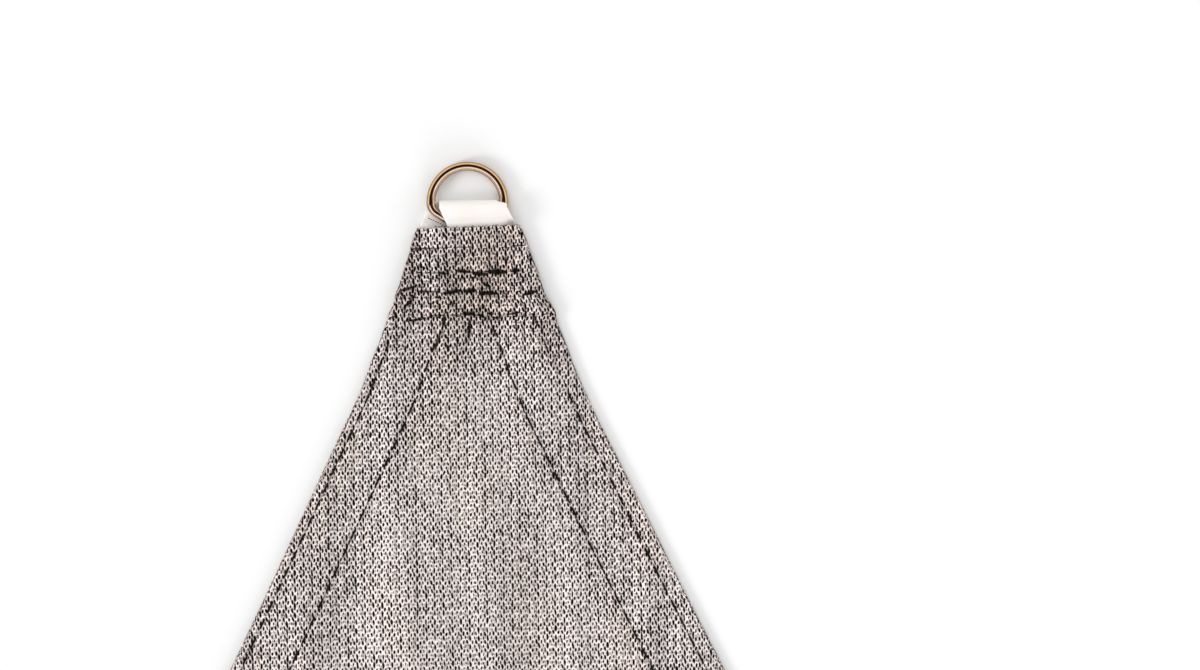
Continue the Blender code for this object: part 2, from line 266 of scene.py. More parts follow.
@dataclass(frozen=True)
class Tuck:
    """A narrow pinch in the gathered cloth, from one place to another, in millimetres."""

    along: float
    across: float
    to_along: float
    to_across: float
    half: float
    deep: float
    # How much wider it is at its middle than half says, and how far it narrows to its ends.
    widen: float = 1.25
    taper: float = 0.45
    # Past so many half widths it is gone.
    reach: float = 4

    def nearness(self, along: float, across: float) -> float:
        """How deep the tuck is at a place given in millimetres, from 0 to its depth.

        Args:
            along: Place along the corner, in millimetres.
            across: Place across the corner, in millimetres.

        Returns:
            The depth.
        """
        way_x, way_y = self.to_along - self.along, self.to_across - self.across
        from_x, from_y = along - self.along, across - self.across
        length = way_x * way_x + way_y * way_y
        share = min(max((from_x * way_x + from_y * way_y) / length, 0.0), 1.0)
        distance = math.hypot(from_x - share * way_x, from_y - share * way_y)
        wide = self.widen * self.half * (1 - self.taper * abs(2 * share - 1))
        return self.deep * bell(distance, wide) if distance < self.reach * self.half else 0


@dataclass(frozen=True)
class Gathers:
    """The bulges, tucks and soft folds that four cross seams pull into a corner."""

    seams: tuple[float, ...] = (12.9, 28, 40, 55)
    # How deep and how wide the valley along each seam is, the width in millimetres.
    # The valleys are also painted dark, as shade, through the pinch layer.
    valleys: tuple[tuple[float, float], ...] = ((0.62, 1.0), (0.55, 1.8), (0.6, 2.1), (0.6, 2.1))
    # Each bulge in millimetres: seam before, seam after, height, share that waves, wave
    # length, phase.
    bulges: tuple[tuple[float, ...], ...] = (
        (-2, 12.9, 0.7, 0.3, 24.0, 1.2),
        (12.9, 28, 2.1, 0.3, 27.8, 0.4),
        (28, 40, 2.8, 0.4, 21.3, 2.1),
        (40, 55, 3.2, 0.42, 24.4, 4.0),
    )
    # Each fold in millimetres: across at its start, across at its end, end along, height.
    fans: tuple[tuple[float, float, float, float], ...] = (
        (-30, -46, 120, 2.0),
        (-9.5, -12, 112, 2.6),
        (4.5, 5, 118, 2.4),
        (18, 25, 120, 2.8),
        (34, 50, 130, 1.8),
    )
    fan_start: float = 53
    # Half a fold's width at its start, which doubles to its end.
    fan_half: float = 6.2
    # Where the gathers have ended.
    end: float = 165
    # Each tuck lowers the cloth and is painted dark, as shade, through the pinch layer.
    tucks: tuple[Tuck, ...] = tuple(
        Tuck(*sizes)
        for sizes in (
            # First seam.
            (12.6, -9.5, 12.6, 2, 0.8, 0.85), (12.6, 6, 12.9, 19, 0.7, 0.75),
            (13, 24, 12.2, 34, 0.9, 0.9), (12, -37.5, 12.4, -24, 0.9, 0.9),
            (12.2, -21, 12.6, -12.5, 0.9, 0.8), (16.2, 21.5, 19.6, 24.5, 0.8, 0.6),
            # Second seam.
            (26.6, -8.8, 27.8, -1, 1.9, 0.9), (28.4, 0.8, 29.4, 9.6, 1.8, 1.05),
            (27.6, 10.8, 28, 21.8, 2.3, 1.05), (26, 14.5, 27, 15, 1.6, 0.9),
            (27.2, 26.4, 27.2, 30.2, 1.9, 1.05), (28, 29.4, 31.4, 29.8, 1.2, 0.9),
            (27.8, -19.6, 28.4, -16.2, 1.6, 1), (27.4, -39.8, 27.8, -37.6, 1, 0.8),
            (28, -32, 28.4, -30.4, 0.9, 0.6),
            # Third seam.
            (39, -45, 35.8, -35, 1.5, 0.95), (37.6, -21, 40.2, -19.6, 1.6, 0.85),
            (39, -33.5, 39.6, -23, 1.2, 0.9), (40.8, -17.5, 39, -7.4, 1.5, 1.05),
            (39.4, -3.6, 39, 2.4, 2, 1.05), (40.6, 6.4, 41.2, 15.8, 1.7, 1.05),
            (39.2, 16.6, 38.9, 24, 0.9, 0.7), (42.2, 33.6, 40, 42.6, 1.5, 1),
            (35.4, 8.2, 36.6, 11.6, 1.8, 0.95), (41.4, -38.4, 43, -34.8, 1.5, 0.95),
            (44.2, -37.6, 48.6, -41.8, 1.5, 1), (42.6, -23.2, 43.4, -19.2, 1.2, 0.95),
            (40.8, 26, 41.2, 30, 0.8, 0.5),
            # Between the third seam and the fourth.
            (45.6, -25.2, 50.8, -22.6, 0.9, 0.75), (44.9, -13.4, 48.6, -11.3, 1.1, 0.75),
            (47.3, 7, 52, 8.8, 1.1, 0.8), (44, 27.5, 51, 31, 0.9, 0.45),
            (50.6, -38.2, 57.6, -40.4, 1.1, 0.8), (32, 22.4, 36.8, 24.6, 0.8, 0.45),
            (31.6, -12.6, 36.4, -10, 0.8, 0.45),
            # Fourth seam.
            (57.2, -38.4, 55.8, -28.6, 1.2, 0.95), (54.6, -27, 53.8, -18, 1.2, 0.8),
            (53.6, -14.8, 54.4, -9.2, 0.8, 0.65), (53.2, -5.6, 53.5, 1.5, 1.6, 1.05),
            (53.8, 3.6, 55.8, 8.2, 1.2, 1), (53.2, 10, 53.4, 12.8, 1.5, 1),
            (56, 12, 56.2, 18.2, 1.1, 0.9), (54.2, 22.4, 52.8, 29.8, 1.2, 0.95),
            (55.8, 31, 57, 37, 0.8, 0.55), (54.2, 37.6, 61.6, 42, 1.3, 0.95),
            # Creases that run down from the fourth seam.
            (57, -1.8, 69.6, -2.6, 1.5, 1.1), (68, -3, 76, -3.6, 0.9, 0.7),
            (54, -17.2, 62, -18.4, 1.4, 1.05), (56.2, -15, 61.6, -15.2, 0.9, 0.75),
            (64, -19.2, 75.4, -23.4, 1.3, 0.95), (61, 12.4, 66, 14.4, 1.3, 1),
            (72, 16.4, 78, 19.4, 1.2, 0.95), (69.5, 44.6, 78, 47.6, 1.2, 0.9),
            (57.5, 4.6, 63, 5, 0.8, 0.4),
        )
    )
    # Soft troughs that the hems' inner seams lie in near the corner, in millimetres: along,
    # across, end along, end across, half width, depth.
    troughs: tuple[tuple[float, float, float, float, float, float], ...] = (
        (58, -20, 150, -53, 4.2, 0.9),
        (62, 14, 160, 55, 4.6, 1.2),
    )

    def bulge(self, along: float, across: float) -> float:
        """Height of the bulges between the seams, in millimetres, before any tuck.

        Args:
            along: Place along the corner, in millimetres.
            across: Place across the corner, in millimetres.

        Returns:
            The height.
        """
        high = 0.0
        for before, after, most, uneven, length, phase in self.bulges:
            if before < along < after:
                rise = 0.3 + 0.7 * math.sin(math.pi * (along - before) / (after - before)) ** 0.8
                wave = math.sin(2 * math.pi * across / length + phase)
                ripple = math.sin(2 * math.pi * across / (0.38 * length) + 3 * phase + along / 9)
                high = most * rise * (1 - uneven + uneven * wave + 0.16 * ripple)
        return high

    def fan(self, along: float, across: float) -> float:
        """Height of the soft folds that fan out below the last seam, in millimetres.

        Args:
            along: Place along the corner, in millimetres.
            across: Place across the corner, in millimetres.

        Returns:
            The height.
        """
        high = 0.0
        for start, end, end_along, most in self.fans:
            share = (along - self.fan_start) / (end_along - self.fan_start)
            if 0.0 < share < 1.0:
                middle = start + share * (end - start)
                beside = (across - middle) / (self.fan_half * (1 + share))
                rise = math.sin(math.pi * share**0.5) ** 1.4
                high += most * math.exp(-(beside**2)) * rise
        return high

    def pinch(self, along: float, across: float) -> float:
        """How far the cloth is pinched down at a place: 1 is right down.

        Args:
            along: Place along the corner, in millimetres.
            across: Place across the corner, in millimetres.

        Returns:
            The share, from 0 to 1.
        """
        pinch = 0.0
        for tuck in self.tucks:
            pinch = max(pinch, tuck.nearness(along, across))
        for seam, (deep, half) in zip(self.seams, self.valleys):
            wave = 0.82 + 0.18 * math.sin(across / 3.3 + seam)
            pinch = max(pinch, deep * wave * bell(along - seam - 0.8 * math.sin(across / 9), half))
        return pinch

    def trough(self, along: float, across: float) -> float:
        """Depth of the soft troughs beside the hems' inner seams, in millimetres.

        Args:
            along: Place along the corner, in millimetres.
            across: Place across the corner, in millimetres.

        Returns:
            The depth.
        """
        deep = 0.0
        for start, beside, end, end_beside, half, most in self.troughs:
            share = (along - start) / (end - start)
            if 0.0 < share < 1.0:
                middle = beside + share * (end_beside - beside)
                level = smooth(share / 0.15) * (1 - smooth((share - 0.35) / 0.65))
                deep += most * level * bell(across - middle, half)
        return deep

    def relief(self, along: float, across: float) -> tuple[float, float]:
        """The gathers at one place.

        Args:
            along: Place along the corner, in metres.
            across: Place across the corner, in metres.

        Returns:
            The cloth's rise in metres and how far it is pinched, from 0 to 1.
        """
        x, y = along / MM, across / MM
        if x > self.end:
            return 0.0, 0.0
        pinch = min(self.pinch(x, y), 1.0)
        high = self.bulge(x, y) + self.fan(x, y)
        return (high * (1 - pinch) - self.trough(x, y)) * MM, pinch


@dataclass(frozen=True)
class CornerShape:
    """One corner of the sail: its outline, its hems and the heights of its layers."""

    strap: StrapShape = field(default_factory=StrapShape)
    gathers: Gathers = field(default_factory=Gathers)
    side: float = 2000 * MM
    hollow: float = 49.4 * MM
    tip_cut_off: float = 50 * MM
    thick: float = CLOTH_THICK
    tip_spread: float = 10.5 * MM
    tip_spread_reach: float = 100 * MM
    tip_spread_power: float = 1.15
    tip_rounding: float = 0.7 * MM
    tip_rounding_reach: float = 4 * MM
    hem_left: float = 44 * MM
    hem_right: float = 50 * MM
    hem_middle: float = 47 * MM
    hem_step: float = 8.5 * MM
    hem_air: float = 0.4 * MM
    hem_fold_depth: float = 1.1
    notch_fade: float = 60 * MM
    mitre_gap: float = 0.35 * MM
    straight_rows: float = 300 * MM
    # Where each stitch line lies from the hem's fold: left hem, right hem, middle of a side.
    outer_line: tuple[float, float, float] = (5.8 * MM, 10.1 * MM, 8.0 * MM)
    inner_line: tuple[float, float, float] = (33 * MM, 39.7 * MM, 36.4 * MM)
    # How far the gathered sides stand out of their true curve, in millimetres: along, left
    # side, right side.
    sides: tuple[tuple[float, float, float], ...] = (
        *((0, 1.0, -2.8), (9, 0.9, -2.5), (15, 0.2, -2.3), (21, 0.2, -2.6)),
        *((27.5, -0.1, -2.1), (36, -0.4, -2.6), (40, 0.3, -2.8), (44, -0.7, -2.6)),
        *((48, -0.5, -1.2), (53, 0.1, -0.5), (59, -0.1, -1.9), (70, -0.1, -1.4)),
        *((83, 0.6, -1.7), (101, 0.4, -1.5), (120, 0.5, -2.1), (150, 0.9, -1.5)),
        *((260, 0.5, -1.6), (420, 0.0, 0.0)),
    )
    # Where the outer and the inner stitches start to pull the cloth down, and how soon.
    groove_starts: tuple[float, float] = (50 * MM, 58 * MM)
    groove_run: float = 8 * MM
    # How the cloth comes down past the strap's end, and over the front leg's left edge.
    strap_margin: float = 1 * MM
    strap_fade: float = 14 * MM
    front_margin: float = 4.5 * MM
    front_ramp: float = 11 * MM
    strap_air: float = 0.5 * MM
    hem_margin: float = 0.6 * MM
    # The gathers start short of the hem's fold.
    crown_start: float = 1.5 * MM
    crown_run: float = 8 * MM
    mouth_slant: float = 0.026
    mouth_slant_reach: float = 40 * MM

    @property
    def curve(self) -> float:
        """Slope at a corner of a side's hollow curve."""
        return 4 * self.hollow / self.side

    @property
    def reach(self) -> float:
        """Distance from the sail's middle to a corner's cut end."""
        return self.side / math.sqrt(3) - self.tip_cut_off

    @property
    def last_row(self) -> float:
        """Distance along the corner at which the middle of a side lies."""
        chord = self.side / 2 * math.cos(HALF_CORNER)
        return chord + self.hollow * math.sin(HALF_CORNER) - self.tip_cut_off

    def half_width(self, along: float) -> float:
        """Half the sail's width at a distance along the corner.

        Args:
            along: Place along the corner.

        Returns:
            The half width.
        """
        bend = self.curve * math.sin(HALF_CORNER) / self.side
        rise = math.cos(HALF_CORNER) + self.curve * math.sin(HALF_CORNER)
        run = (rise - math.sqrt(rise**2 - 4 * bend * (along + self.tip_cut_off))) / (2 * bend)
        hollow = self.curve * run * (1 - run / self.side)
        plain = run * math.sin(HALF_CORNER) - hollow * math.cos(HALF_CORNER)
        left_over = max(0.0, 1 - along / self.tip_spread_reach)
        rounding = self.tip_rounding * max(0.0, 1 - along / self.tip_rounding_reach) ** 2
        return plain + self.tip_spread * left_over**self.tip_spread_power - rounding

    def turned(self, along: float) -> float:
        """How far a row has turned from straight across to the middle of a side, 0 to 1."""
        return smooth((along - self.straight_rows) / (self.last_row - self.straight_rows))

    def row_line(self, along: float) -> tuple[Vector, Vector, Vector]:
        """A row's start on the sail's edge.

        Args:
            along: Where the row meets the edge.

        Returns:
            The start, the way from it to the corner's axis, and the edge's inward normal.
        """
        edge = Vector((along, self.half_width(along)))
        turn = self.turned(along)
        middle = Vector((along + turn * (self.reach - self.last_row), 0.0))
        near = along + SAME_POINT
        ahead = (Vector((near, self.half_width(near))) - edge).normalized()
        return edge, middle - edge, Vector((ahead.y, -ahead.x))

    def settled(self, spot: Vector) -> Vector:
        """Moves a point of the true shape to where the uneven gathers have pulled it.

        Args:
            spot: The point.

        Returns:
            Where it lies.
        """
        if spot.x > self.sides[-1][0] * MM:
            return spot
        out = between(self.sides, spot.x, 2 if spot.y > 0 else 1)
        across = spot.y * (1 + out / self.half_width(max(spot.x, 0.0)))
        fade = 1 - smooth(spot.x / self.mouth_slant_reach)
        return Vector((spot.x - self.mouth_slant * across * fade, across, spot.z))

    def hem_width(self, along: float, side: int) -> float:
        """Width of the hem on one side of a corner, -1 for the left and 1 for the right."""
        at_tip = self.hem_right if side > 0 else self.hem_left
        return at_tip + (self.hem_middle - at_tip) * along / self.last_row

    def line_distance(self, line: StitchLine, along: float, side: int) -> float:
        """How far a stitch line lies from the hem's fold.

        Args:
            line: Which of the hem's lines.
            along: Place along the corner.
            side: -1 for the left side and 1 for the right.

        Returns:
            The distance.
        """
        sizes = self.outer_line if line is StitchLine.OUTER else self.inner_line
        at_tip = sizes[1] if side > 0 else sizes[0]
        return at_tip + (sizes[2] - at_tip) * self.turned(along)

    def groove(self, along: float, side: int, from_edge: float, width: float) -> float:
        """How deep the stitches sink at a distance from the hem's fold, from 0 to 1.

        Args:
            along: Place along the corner.
            side: -1 for the left side and 1 for the right.
            from_edge: Distance from the hem's fold.
            width: Half the width of a groove.

        Returns:
            The share, from 0 to 1.
        """
        deep = 0.0
        for line, start in zip(StitchLine, self.groove_starts):
            if along > start:
                away = from_edge - self.line_distance(line, along, side)
                deep = max(deep, bell(away, width) * smooth((along - start) / self.groove_run))
        return deep

    def layers_high(self, along: float, across: float, from_edge: float, hem: float) -> float:
        """Underside of the upper sheet over the hems and the strap, without the gathers.

        Args:
            along: Place along the corner.
            across: Place across the corner.
            from_edge: Distance from the hem's fold.
            hem: Width of the hem there.

        Returns:
            The height.
        """
        step = smooth((from_edge - hem - self.hem_margin) / self.hem_step)
        high = (self.thick + self.hem_air) * (1 - step)
        fade = 1 - smooth((along - self.strap.end - self.strap_margin) / self.strap_fade)
        if fade > 0.0:
            left = between(self.strap.front_leg, along, 1) - self.front_margin
            over_front = smooth((across - left + self.front_ramp) / self.front_ramp)
            one_leg = self.thick + self.strap.gap
            top = self.strap.highest_front(along, across)
            level = one_leg + over_front * (top - one_leg)
            high = max(high, fade * (level + self.strap.thick + self.strap_air))
        return high

    def cloth_high(
        self, along: float, across: float, from_edge: float, hem: float
    ) -> tuple[float, float]:
        """The upper sheet at one place.

        Args:
            along: Place along the corner.
            across: Place across the corner.
            from_edge: Distance from the hem's fold.
            hem: Width of the hem there.

        Returns:
            The height of its underside and how far it is pinched, from 0 to 1.
        """
        rise, pinch = self.gathers.relief(along, across)
        crown = smooth((from_edge - self.crown_start) / self.crown_run)
        return self.layers_high(along, across, from_edge, hem) + rise * crown, pinch


@dataclass(frozen=True)
class SailPlace:
    """Where the sail lies in the frame, and how a corner's points get there."""

    middle: Vector
    shape: CornerShape

    @classmethod
    def from_frame(cls, shape: CornerShape) -> "SailPlace":
        """Reads the sail's middle from the box of its solid."""
        low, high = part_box("sail_cloth")
        return cls(Vector(((low.x + high.x) / 2, high.y - shape.reach, 0.0)), shape)

    def point(self, place: Vector, corner: Corner) -> Vector:
        """Turns a corner's point (along, across, high) into the frame."""
        turn = Matrix.Rotation(math.radians(corner.value), 3, "Z")
        return turn @ Vector((place.y, self.shape.reach - place.x, place.z)) + self.middle

    def settled(self, place: Vector, corner: Corner) -> Vector:
        """The same for a point of the true shape, once the gathers have pulled it."""
        return self.point(self.shape.settled(place), corner)


# Finishes


class NodeBoard:
    """Short calls that lay out the nodes of a material or a sky."""

    def __init__(self, owner: bpy.types.Material | bpy.types.World) -> None:
        """Turns the owner's nodes on."""
        owner.use_nodes = True
        self.tree = owner.node_tree

    def add(self, kind: str, inputs: dict | None = None, **settings) -> bpy.types.Node:
        """Adds a node.

        Args:
            kind: The node's type, without its ShaderNode prefix.
            inputs: Values or sockets by input name or number.
            **settings: The node's own properties.

        Returns:
            The new node.
        """
        node = self.tree.nodes.new("ShaderNode" + kind)
        for key, value in settings.items():
            setattr(node, key, value)
        for key, value in (inputs or {}).items():
            self.join(value, node.inputs[key])
        return node

    def join(self, value: object, socket: bpy.types.NodeSocket) -> None:
        """Links a socket to another, or sets a plain value on it.

        Args:
            value: The other socket, or the value.
            socket: The input to set.
        """
        if isinstance(value, bpy.types.NodeSocket):
            self.tree.links.new(value, socket)
        elif isinstance(value, tuple) and len(value) == 3 and socket.type == "RGBA":
            socket.default_value = (*value, 1.0)
        else:
            socket.default_value = value

    def sum(self, operation: str, *values: object) -> bpy.types.NodeSocket:
        """One Math node."""
        inputs = dict(enumerate(values))
        return self.add("Math", inputs, operation=operation).outputs[0]

    def ease(self, value: object, low: float, high: float, start: float, end: float) -> object:
        """Maps a value smoothly from one span to another."""
        inputs = {0: value, 1: low, 2: high, 3: start, 4: end}
        return self.add("MapRange", inputs, interpolation_type="SMOOTHSTEP").outputs[0]

    def span(self, value: object, low: float, high: float, start: float, end: float) -> object:
        """Maps a value straight from one span to another."""
        return self.add("MapRange", {0: value, 1: low, 2: high, 3: start, 4: end}).outputs[0]

    def noise(self, place: object, scale: float, detail: float = 1.0) -> bpy.types.Node:
        """A noise texture at a number of grains to the metre."""
        return self.add("TexNoise", {"Vector": place, "Scale": scale, "Detail": detail})

    def grain(self, place: object, scale: float, detail: float = 1.0) -> bpy.types.NodeSocket:
        """The value of a noise texture."""
        return self.noise(place, scale, detail).outputs[0]

    def layer(self, name: str) -> bpy.types.NodeSocket:
        """One of the cloth's layers of values."""
        return self.add("Attribute", attribute_name=name).outputs["Fac"]

    def blend(self, share: object, first: object, second: object, way: str = "MIX") -> object:
        """Mixes two colours.

        Args:
            share: Share of the second colour.
            first: First colour.
            second: Second colour.
            way: How they are mixed.

        Returns:
            The mixed colour.
        """
        node = self.add("Mix", data_type="RGBA", blend_type=way)
        self.join(share, node.inputs[0])
        self.join(first, node.inputs[6])
        self.join(second, node.inputs[7])
        return node.outputs[2]

    def vector(self, operation: str, inputs: dict) -> bpy.types.NodeSocket:
        """One Vector Math node."""
        return self.add("VectorMath", inputs, operation=operation).outputs[0]


class Coat(NodeBoard):
    """A material with one Principled surface."""

    def __init__(self, name: str) -> None:
        """Starts a plain material.

        Args:
            name: Its name.
        """
        self.material = bpy.data.materials.new(name)
        super().__init__(self.material)
        self.surface = self.tree.nodes["Principled BSDF"]

    def paint(self, colour: object, rough: object, shine: float = 0.5) -> None:
        """Sets the surface's colour, roughness and share of mirrored light.

        Args:
            colour: Its colour.
            rough: Its roughness.
            shine: Its share of mirrored light.
        """
        self.join(colour, self.surface.inputs["Base Color"])
        self.join(rough, self.surface.inputs["Roughness"])
        self.join(shine, self.surface.inputs["Specular IOR Level"])

    def relief(self, height: object, strength: float, distance: float) -> None:
        """Gives the surface a bump of a strength and a height in metres."""
        inputs = {"Strength": strength, "Distance": distance, "Height": height}
        self.join(self.add("Bump", inputs).outputs[0], self.surface.inputs["Normal"])


@dataclass(frozen=True)
class KnitFinish:
    """Open warp-knitted cloth of flat plastic yarn: loops of strands round small openings."""

    side: KnitSide
    cell_across: float = 5.35 * MM
    cell_along: float = 5.25 * MM
    # Openings of a loop: across, along, half width, half length, slant.
    holes: tuple[tuple[float, float, float, float, float], ...] = (
        (0.0, 0.0, 0.60 * MM, 1.75 * MM, 0.06),
        (1.5 * MM, 2.5 * MM, 0.52 * MM, 1.10 * MM, -0.10),
        (2.75 * MM, 0.3 * MM, 0.36 * MM, 0.90 * MM, 0.05),
        (3.75 * MM, -2.4 * MM, 0.54 * MM, 1.20 * MM, 0.15),
    )
    # Painted shade: openings are coloured near black for the shade seen in them.
    hole: Colour = (0.004, 0.003, 0.003)
    # Painted light: shaded and lit yarn colours, plain lit level, highlight on the crests.
    shade: Colour = (0.225, 0.187, 0.177)
    light: Colour = (1.0, 0.905, 0.872)
    base_lit: float = 0.24
    crest_lit: float = 0.60
    bump: float = 0.85

    @classmethod
    def reverse(cls) -> "KnitFinish":
        """The sheet's underside: rows of short bars with openings between them.

        Returns:
            The finish.
        """
        holes = (
            (0.0, -1.31 * MM, 1.05 * MM, 0.44 * MM, 0.0),
            (0.2 * MM, 1.31 * MM, 1.05 * MM, 0.44 * MM, 0.0),
        )
        # Painted shade in the openings, lighter than on the face.
        hole, shade = (0.045, 0.040, 0.039), (0.27, 0.240, 0.230)
        lit = {"base_lit": 0.14, "crest_lit": 0.24}
        return cls(KnitSide.REVERSE, holes=holes, hole=hole, shade=shade, bump=0.5, **lit)

    @classmethod
    def turned_hem(cls) -> "KnitFinish":
        """The turned-under hems: drawn tighter, with small slanted openings.

        Returns:
            The finish.
        """
        holes = (
            (0.0, -1.3 * MM, 0.30 * MM, 0.66 * MM, 0.5),
            (1.35 * MM, 0.2 * MM, 0.36 * MM, 0.42 * MM, -0.6),
            (2.65 * MM, -0.9 * MM, 0.28 * MM, 0.62 * MM, 0.3),
            (-1.3 * MM, 1.5 * MM, 0.34 * MM, 0.46 * MM, -0.4),
        )
        # Painted shade in the openings, lighter than on the face.
        hole, shade = (0.045, 0.039, 0.037), (0.25, 0.218, 0.208)
        lit = {"base_lit": 0.14, "crest_lit": 0.30}
        return cls(KnitSide.HEM, holes=holes, hole=hole, shade=shade, bump=0.5, **lit)

    def make(self) -> bpy.types.Material:
        """Builds the material.

        Returns:
            The material.
        """
        board = Coat(f"knit_{self.side.value}")
        place = board.add("UVMap", uv_map="cloth").outputs[0]
        wander = self.wander(board, place)
        u, v = board.add("SeparateXYZ", {0: wander}).outputs[:2]
        strand, crest, loops = self.openings(board, u, v, place)
        fleck = board.grain(place, 430.0)
        # Painted highlight: yarn crests, column ribs and the brightest flecks are made lighter.
        lit = board.sum("MULTIPLY_ADD", loops, 0.10, self.base_lit)
        lit = board.sum("MULTIPLY_ADD", crest, self.crest_lit, lit)
        lit = board.sum("ADD", lit, board.span(fleck, 0.36, 0.64, -0.29, 0.50))
        strip = board.vector("MULTIPLY", {0: place, 1: (1.0, 0.22, 1.0)})
        fibre = board.grain(strip, 1500.0, 2.0)
        lit = board.sum("ADD", lit, board.span(fibre, 0.3, 0.7, -0.16, 0.16))
        yarn = board.blend(board.span(lit, 0.0, 1.0, 0.0, 1.0), self.shade, self.light)
        cloth = board.blend(strand, self.hole, yarn)
        cloth = self.mottle(board, place, cloth)
        cloth = self.paint_gather_shade(board, cloth, strand)
        board.paint(cloth, 0.7, 0.12)
        height = board.sum("MULTIPLY_ADD", crest, 0.5, strand)
        height = board.sum("MULTIPLY_ADD", loops, 0.12, height)
        height = board.sum("MULTIPLY_ADD", fibre, 0.3, height)
        board.relief(height, self.bump, 0.55 * MM)
        return board.material

    def openings(self, board: NodeBoard, u: object, v: object, place: object) -> tuple:
        """Small openings in every loop, with yarn drawn tight round them.

        Args:
            board: The material being made.
            u: Place across the columns.
            v: Place along the columns.
            place: Place on the flat cloth.

        Returns:
            1 on yarn and 0 in an opening, the crest of the yarn, and the columns' swell.
        """
        nearest = None
        for across, along, half_wide, half_long, slant in self.holes:
            wrap = (board.sum("SUBTRACT", v, along), self.cell_along / 2, -self.cell_along / 2)
            beside = board.sum("WRAP", *wrap)
            drawn = board.sum("SUBTRACT", board.sum("MULTIPLY_ADD", beside, slant, u), across)
            x = board.sum("DIVIDE", board.sum("PINGPONG", drawn, self.cell_across / 2), half_wide)
            y = board.sum("DIVIDE", beside, half_long)
            away = board.sum("SQRT", board.sum("MULTIPLY_ADD", x, x, board.sum("MULTIPLY", y, y)))
            nearest = board.sum("MINIMUM", nearest, away) if nearest else away
        for scale, least, most in ((260.0, -0.30, 0.30), (48.0, -0.12, 0.12)):
            grain = board.grain(place, scale)
            nearest = board.sum("ADD", nearest, board.span(grain, 0.3, 0.7, least, most))
        # Bunched knit gets wider dark openings, which adds painted shade.
        bunch = board.layer("bunch")
        nearest = board.sum("MULTIPLY_ADD", bunch, -0.14, nearest)
        strand = board.ease(nearest, 0.72, 1.26, 0.0, 1.0)
        rim = board.ease(nearest, 0.95, 1.5, 0.0, 1.0)
        crest = board.sum("MULTIPLY", rim, board.ease(nearest, 1.4, 2.3, 1.0, 0.0))
        rib = board.sum("MULTIPLY_ADD", u, 2 * math.pi / self.cell_across, -0.2)
        return strand, crest, board.sum("SINE", rib)

    def wander(self, board: NodeBoard, place: object) -> object:
        """Pulls the knit's columns and rows a little out of true.

        Args:
            board: The material being made.
            place: Place on the flat cloth.

        Returns:
            The moved place.
        """
        moved = place
        for scale, far in ((70.0, 1.5 * MM), (300.0, 0.8 * MM)):
            noise = board.noise(place, scale).outputs[1]
            centred = board.vector("SUBTRACT", {0: noise, 1: (0.5, 0.5, 0.5)})
            pull = board.vector("SCALE", {0: centred, 3: far})
            moved = board.vector("ADD", {0: moved, 1: pull})
        return moved

    def mottle(self, board: NodeBoard, place: object, cloth: object) -> object:
        """Adds long soft bands down the columns and faint cool and warm patches.

        Args:
            board: The material being made.
            place: Place on the flat cloth.
            cloth: Colour of the plain knit.

        Returns:
            The colour with its bands and patches.
        """
        share = None
        for along, scale, low, high in (
            (0.07, 42.0, 0.86, 1.16),
            (0.04, 150.0, 0.93, 1.07),
            (0.3, 12.0, 0.94, 1.06),
        ):
            drawn = board.vector("MULTIPLY", {0: place, 1: (1.0, along, 1.0)})
            band = board.span(board.grain(drawn, scale), 0.3, 0.7, low, high)
            share = board.sum("MULTIPLY", share, band) if share else band
        drawn = board.vector("MULTIPLY", {0: place, 1: (1.0, 0.4, 1.0)})
        patch = board.ease(board.grain(drawn, 24.0), 0.35, 0.65, 0.2, 1.0)
        cool = board.layer("cool")
        patch = board.sum("MULTIPLY_ADD", cool, -0.9, patch)
        tint = board.blend(patch, (0.978, 0.996, 1.022), (1.012, 0.995, 0.972))
        banded = board.vector("SCALE", {0: cloth, 3: share})
        return board.blend(1.0, banded, tint, "MULTIPLY")

    def paint_gather_shade(self, board: NodeBoard, cloth: object, strand: object) -> object:
        """Paints shade on the gathers: darker where the knit is bunched, near black in the tucks.

        Args:
            board: The material being made.
            cloth: Colour of the loose knit.
            strand: 1 on a strand and 0 in a hole.

        Returns:
            The colour with the gathers' shade.
        """
        pinch = board.layer("pinch")
        bunch = board.layer("bunch")
        # Painted shade: near black where the pinch layer is high, in tucks, seam valleys and
        # grooves.
        near = board.sum("MULTIPLY_ADD", strand, -0.38, board.sum("ADD", pinch, 0.28))
        deep = board.ease(near, 0.30, 0.78, 1.0, 0.03)
        # Painted shade: bunched knit is made darker and more contrasty.
        power = board.sum("MULTIPLY_ADD", bunch, 0.55, 1.0)
        dark = board.add("Gamma", {0: cloth, 1: power}).outputs[0]
        soft = board.sum("MULTIPLY_ADD", bunch, -0.13, 1.0)
        share = board.sum("MULTIPLY", deep, soft)
        return board.vector("SCALE", {0: dark, 3: share})


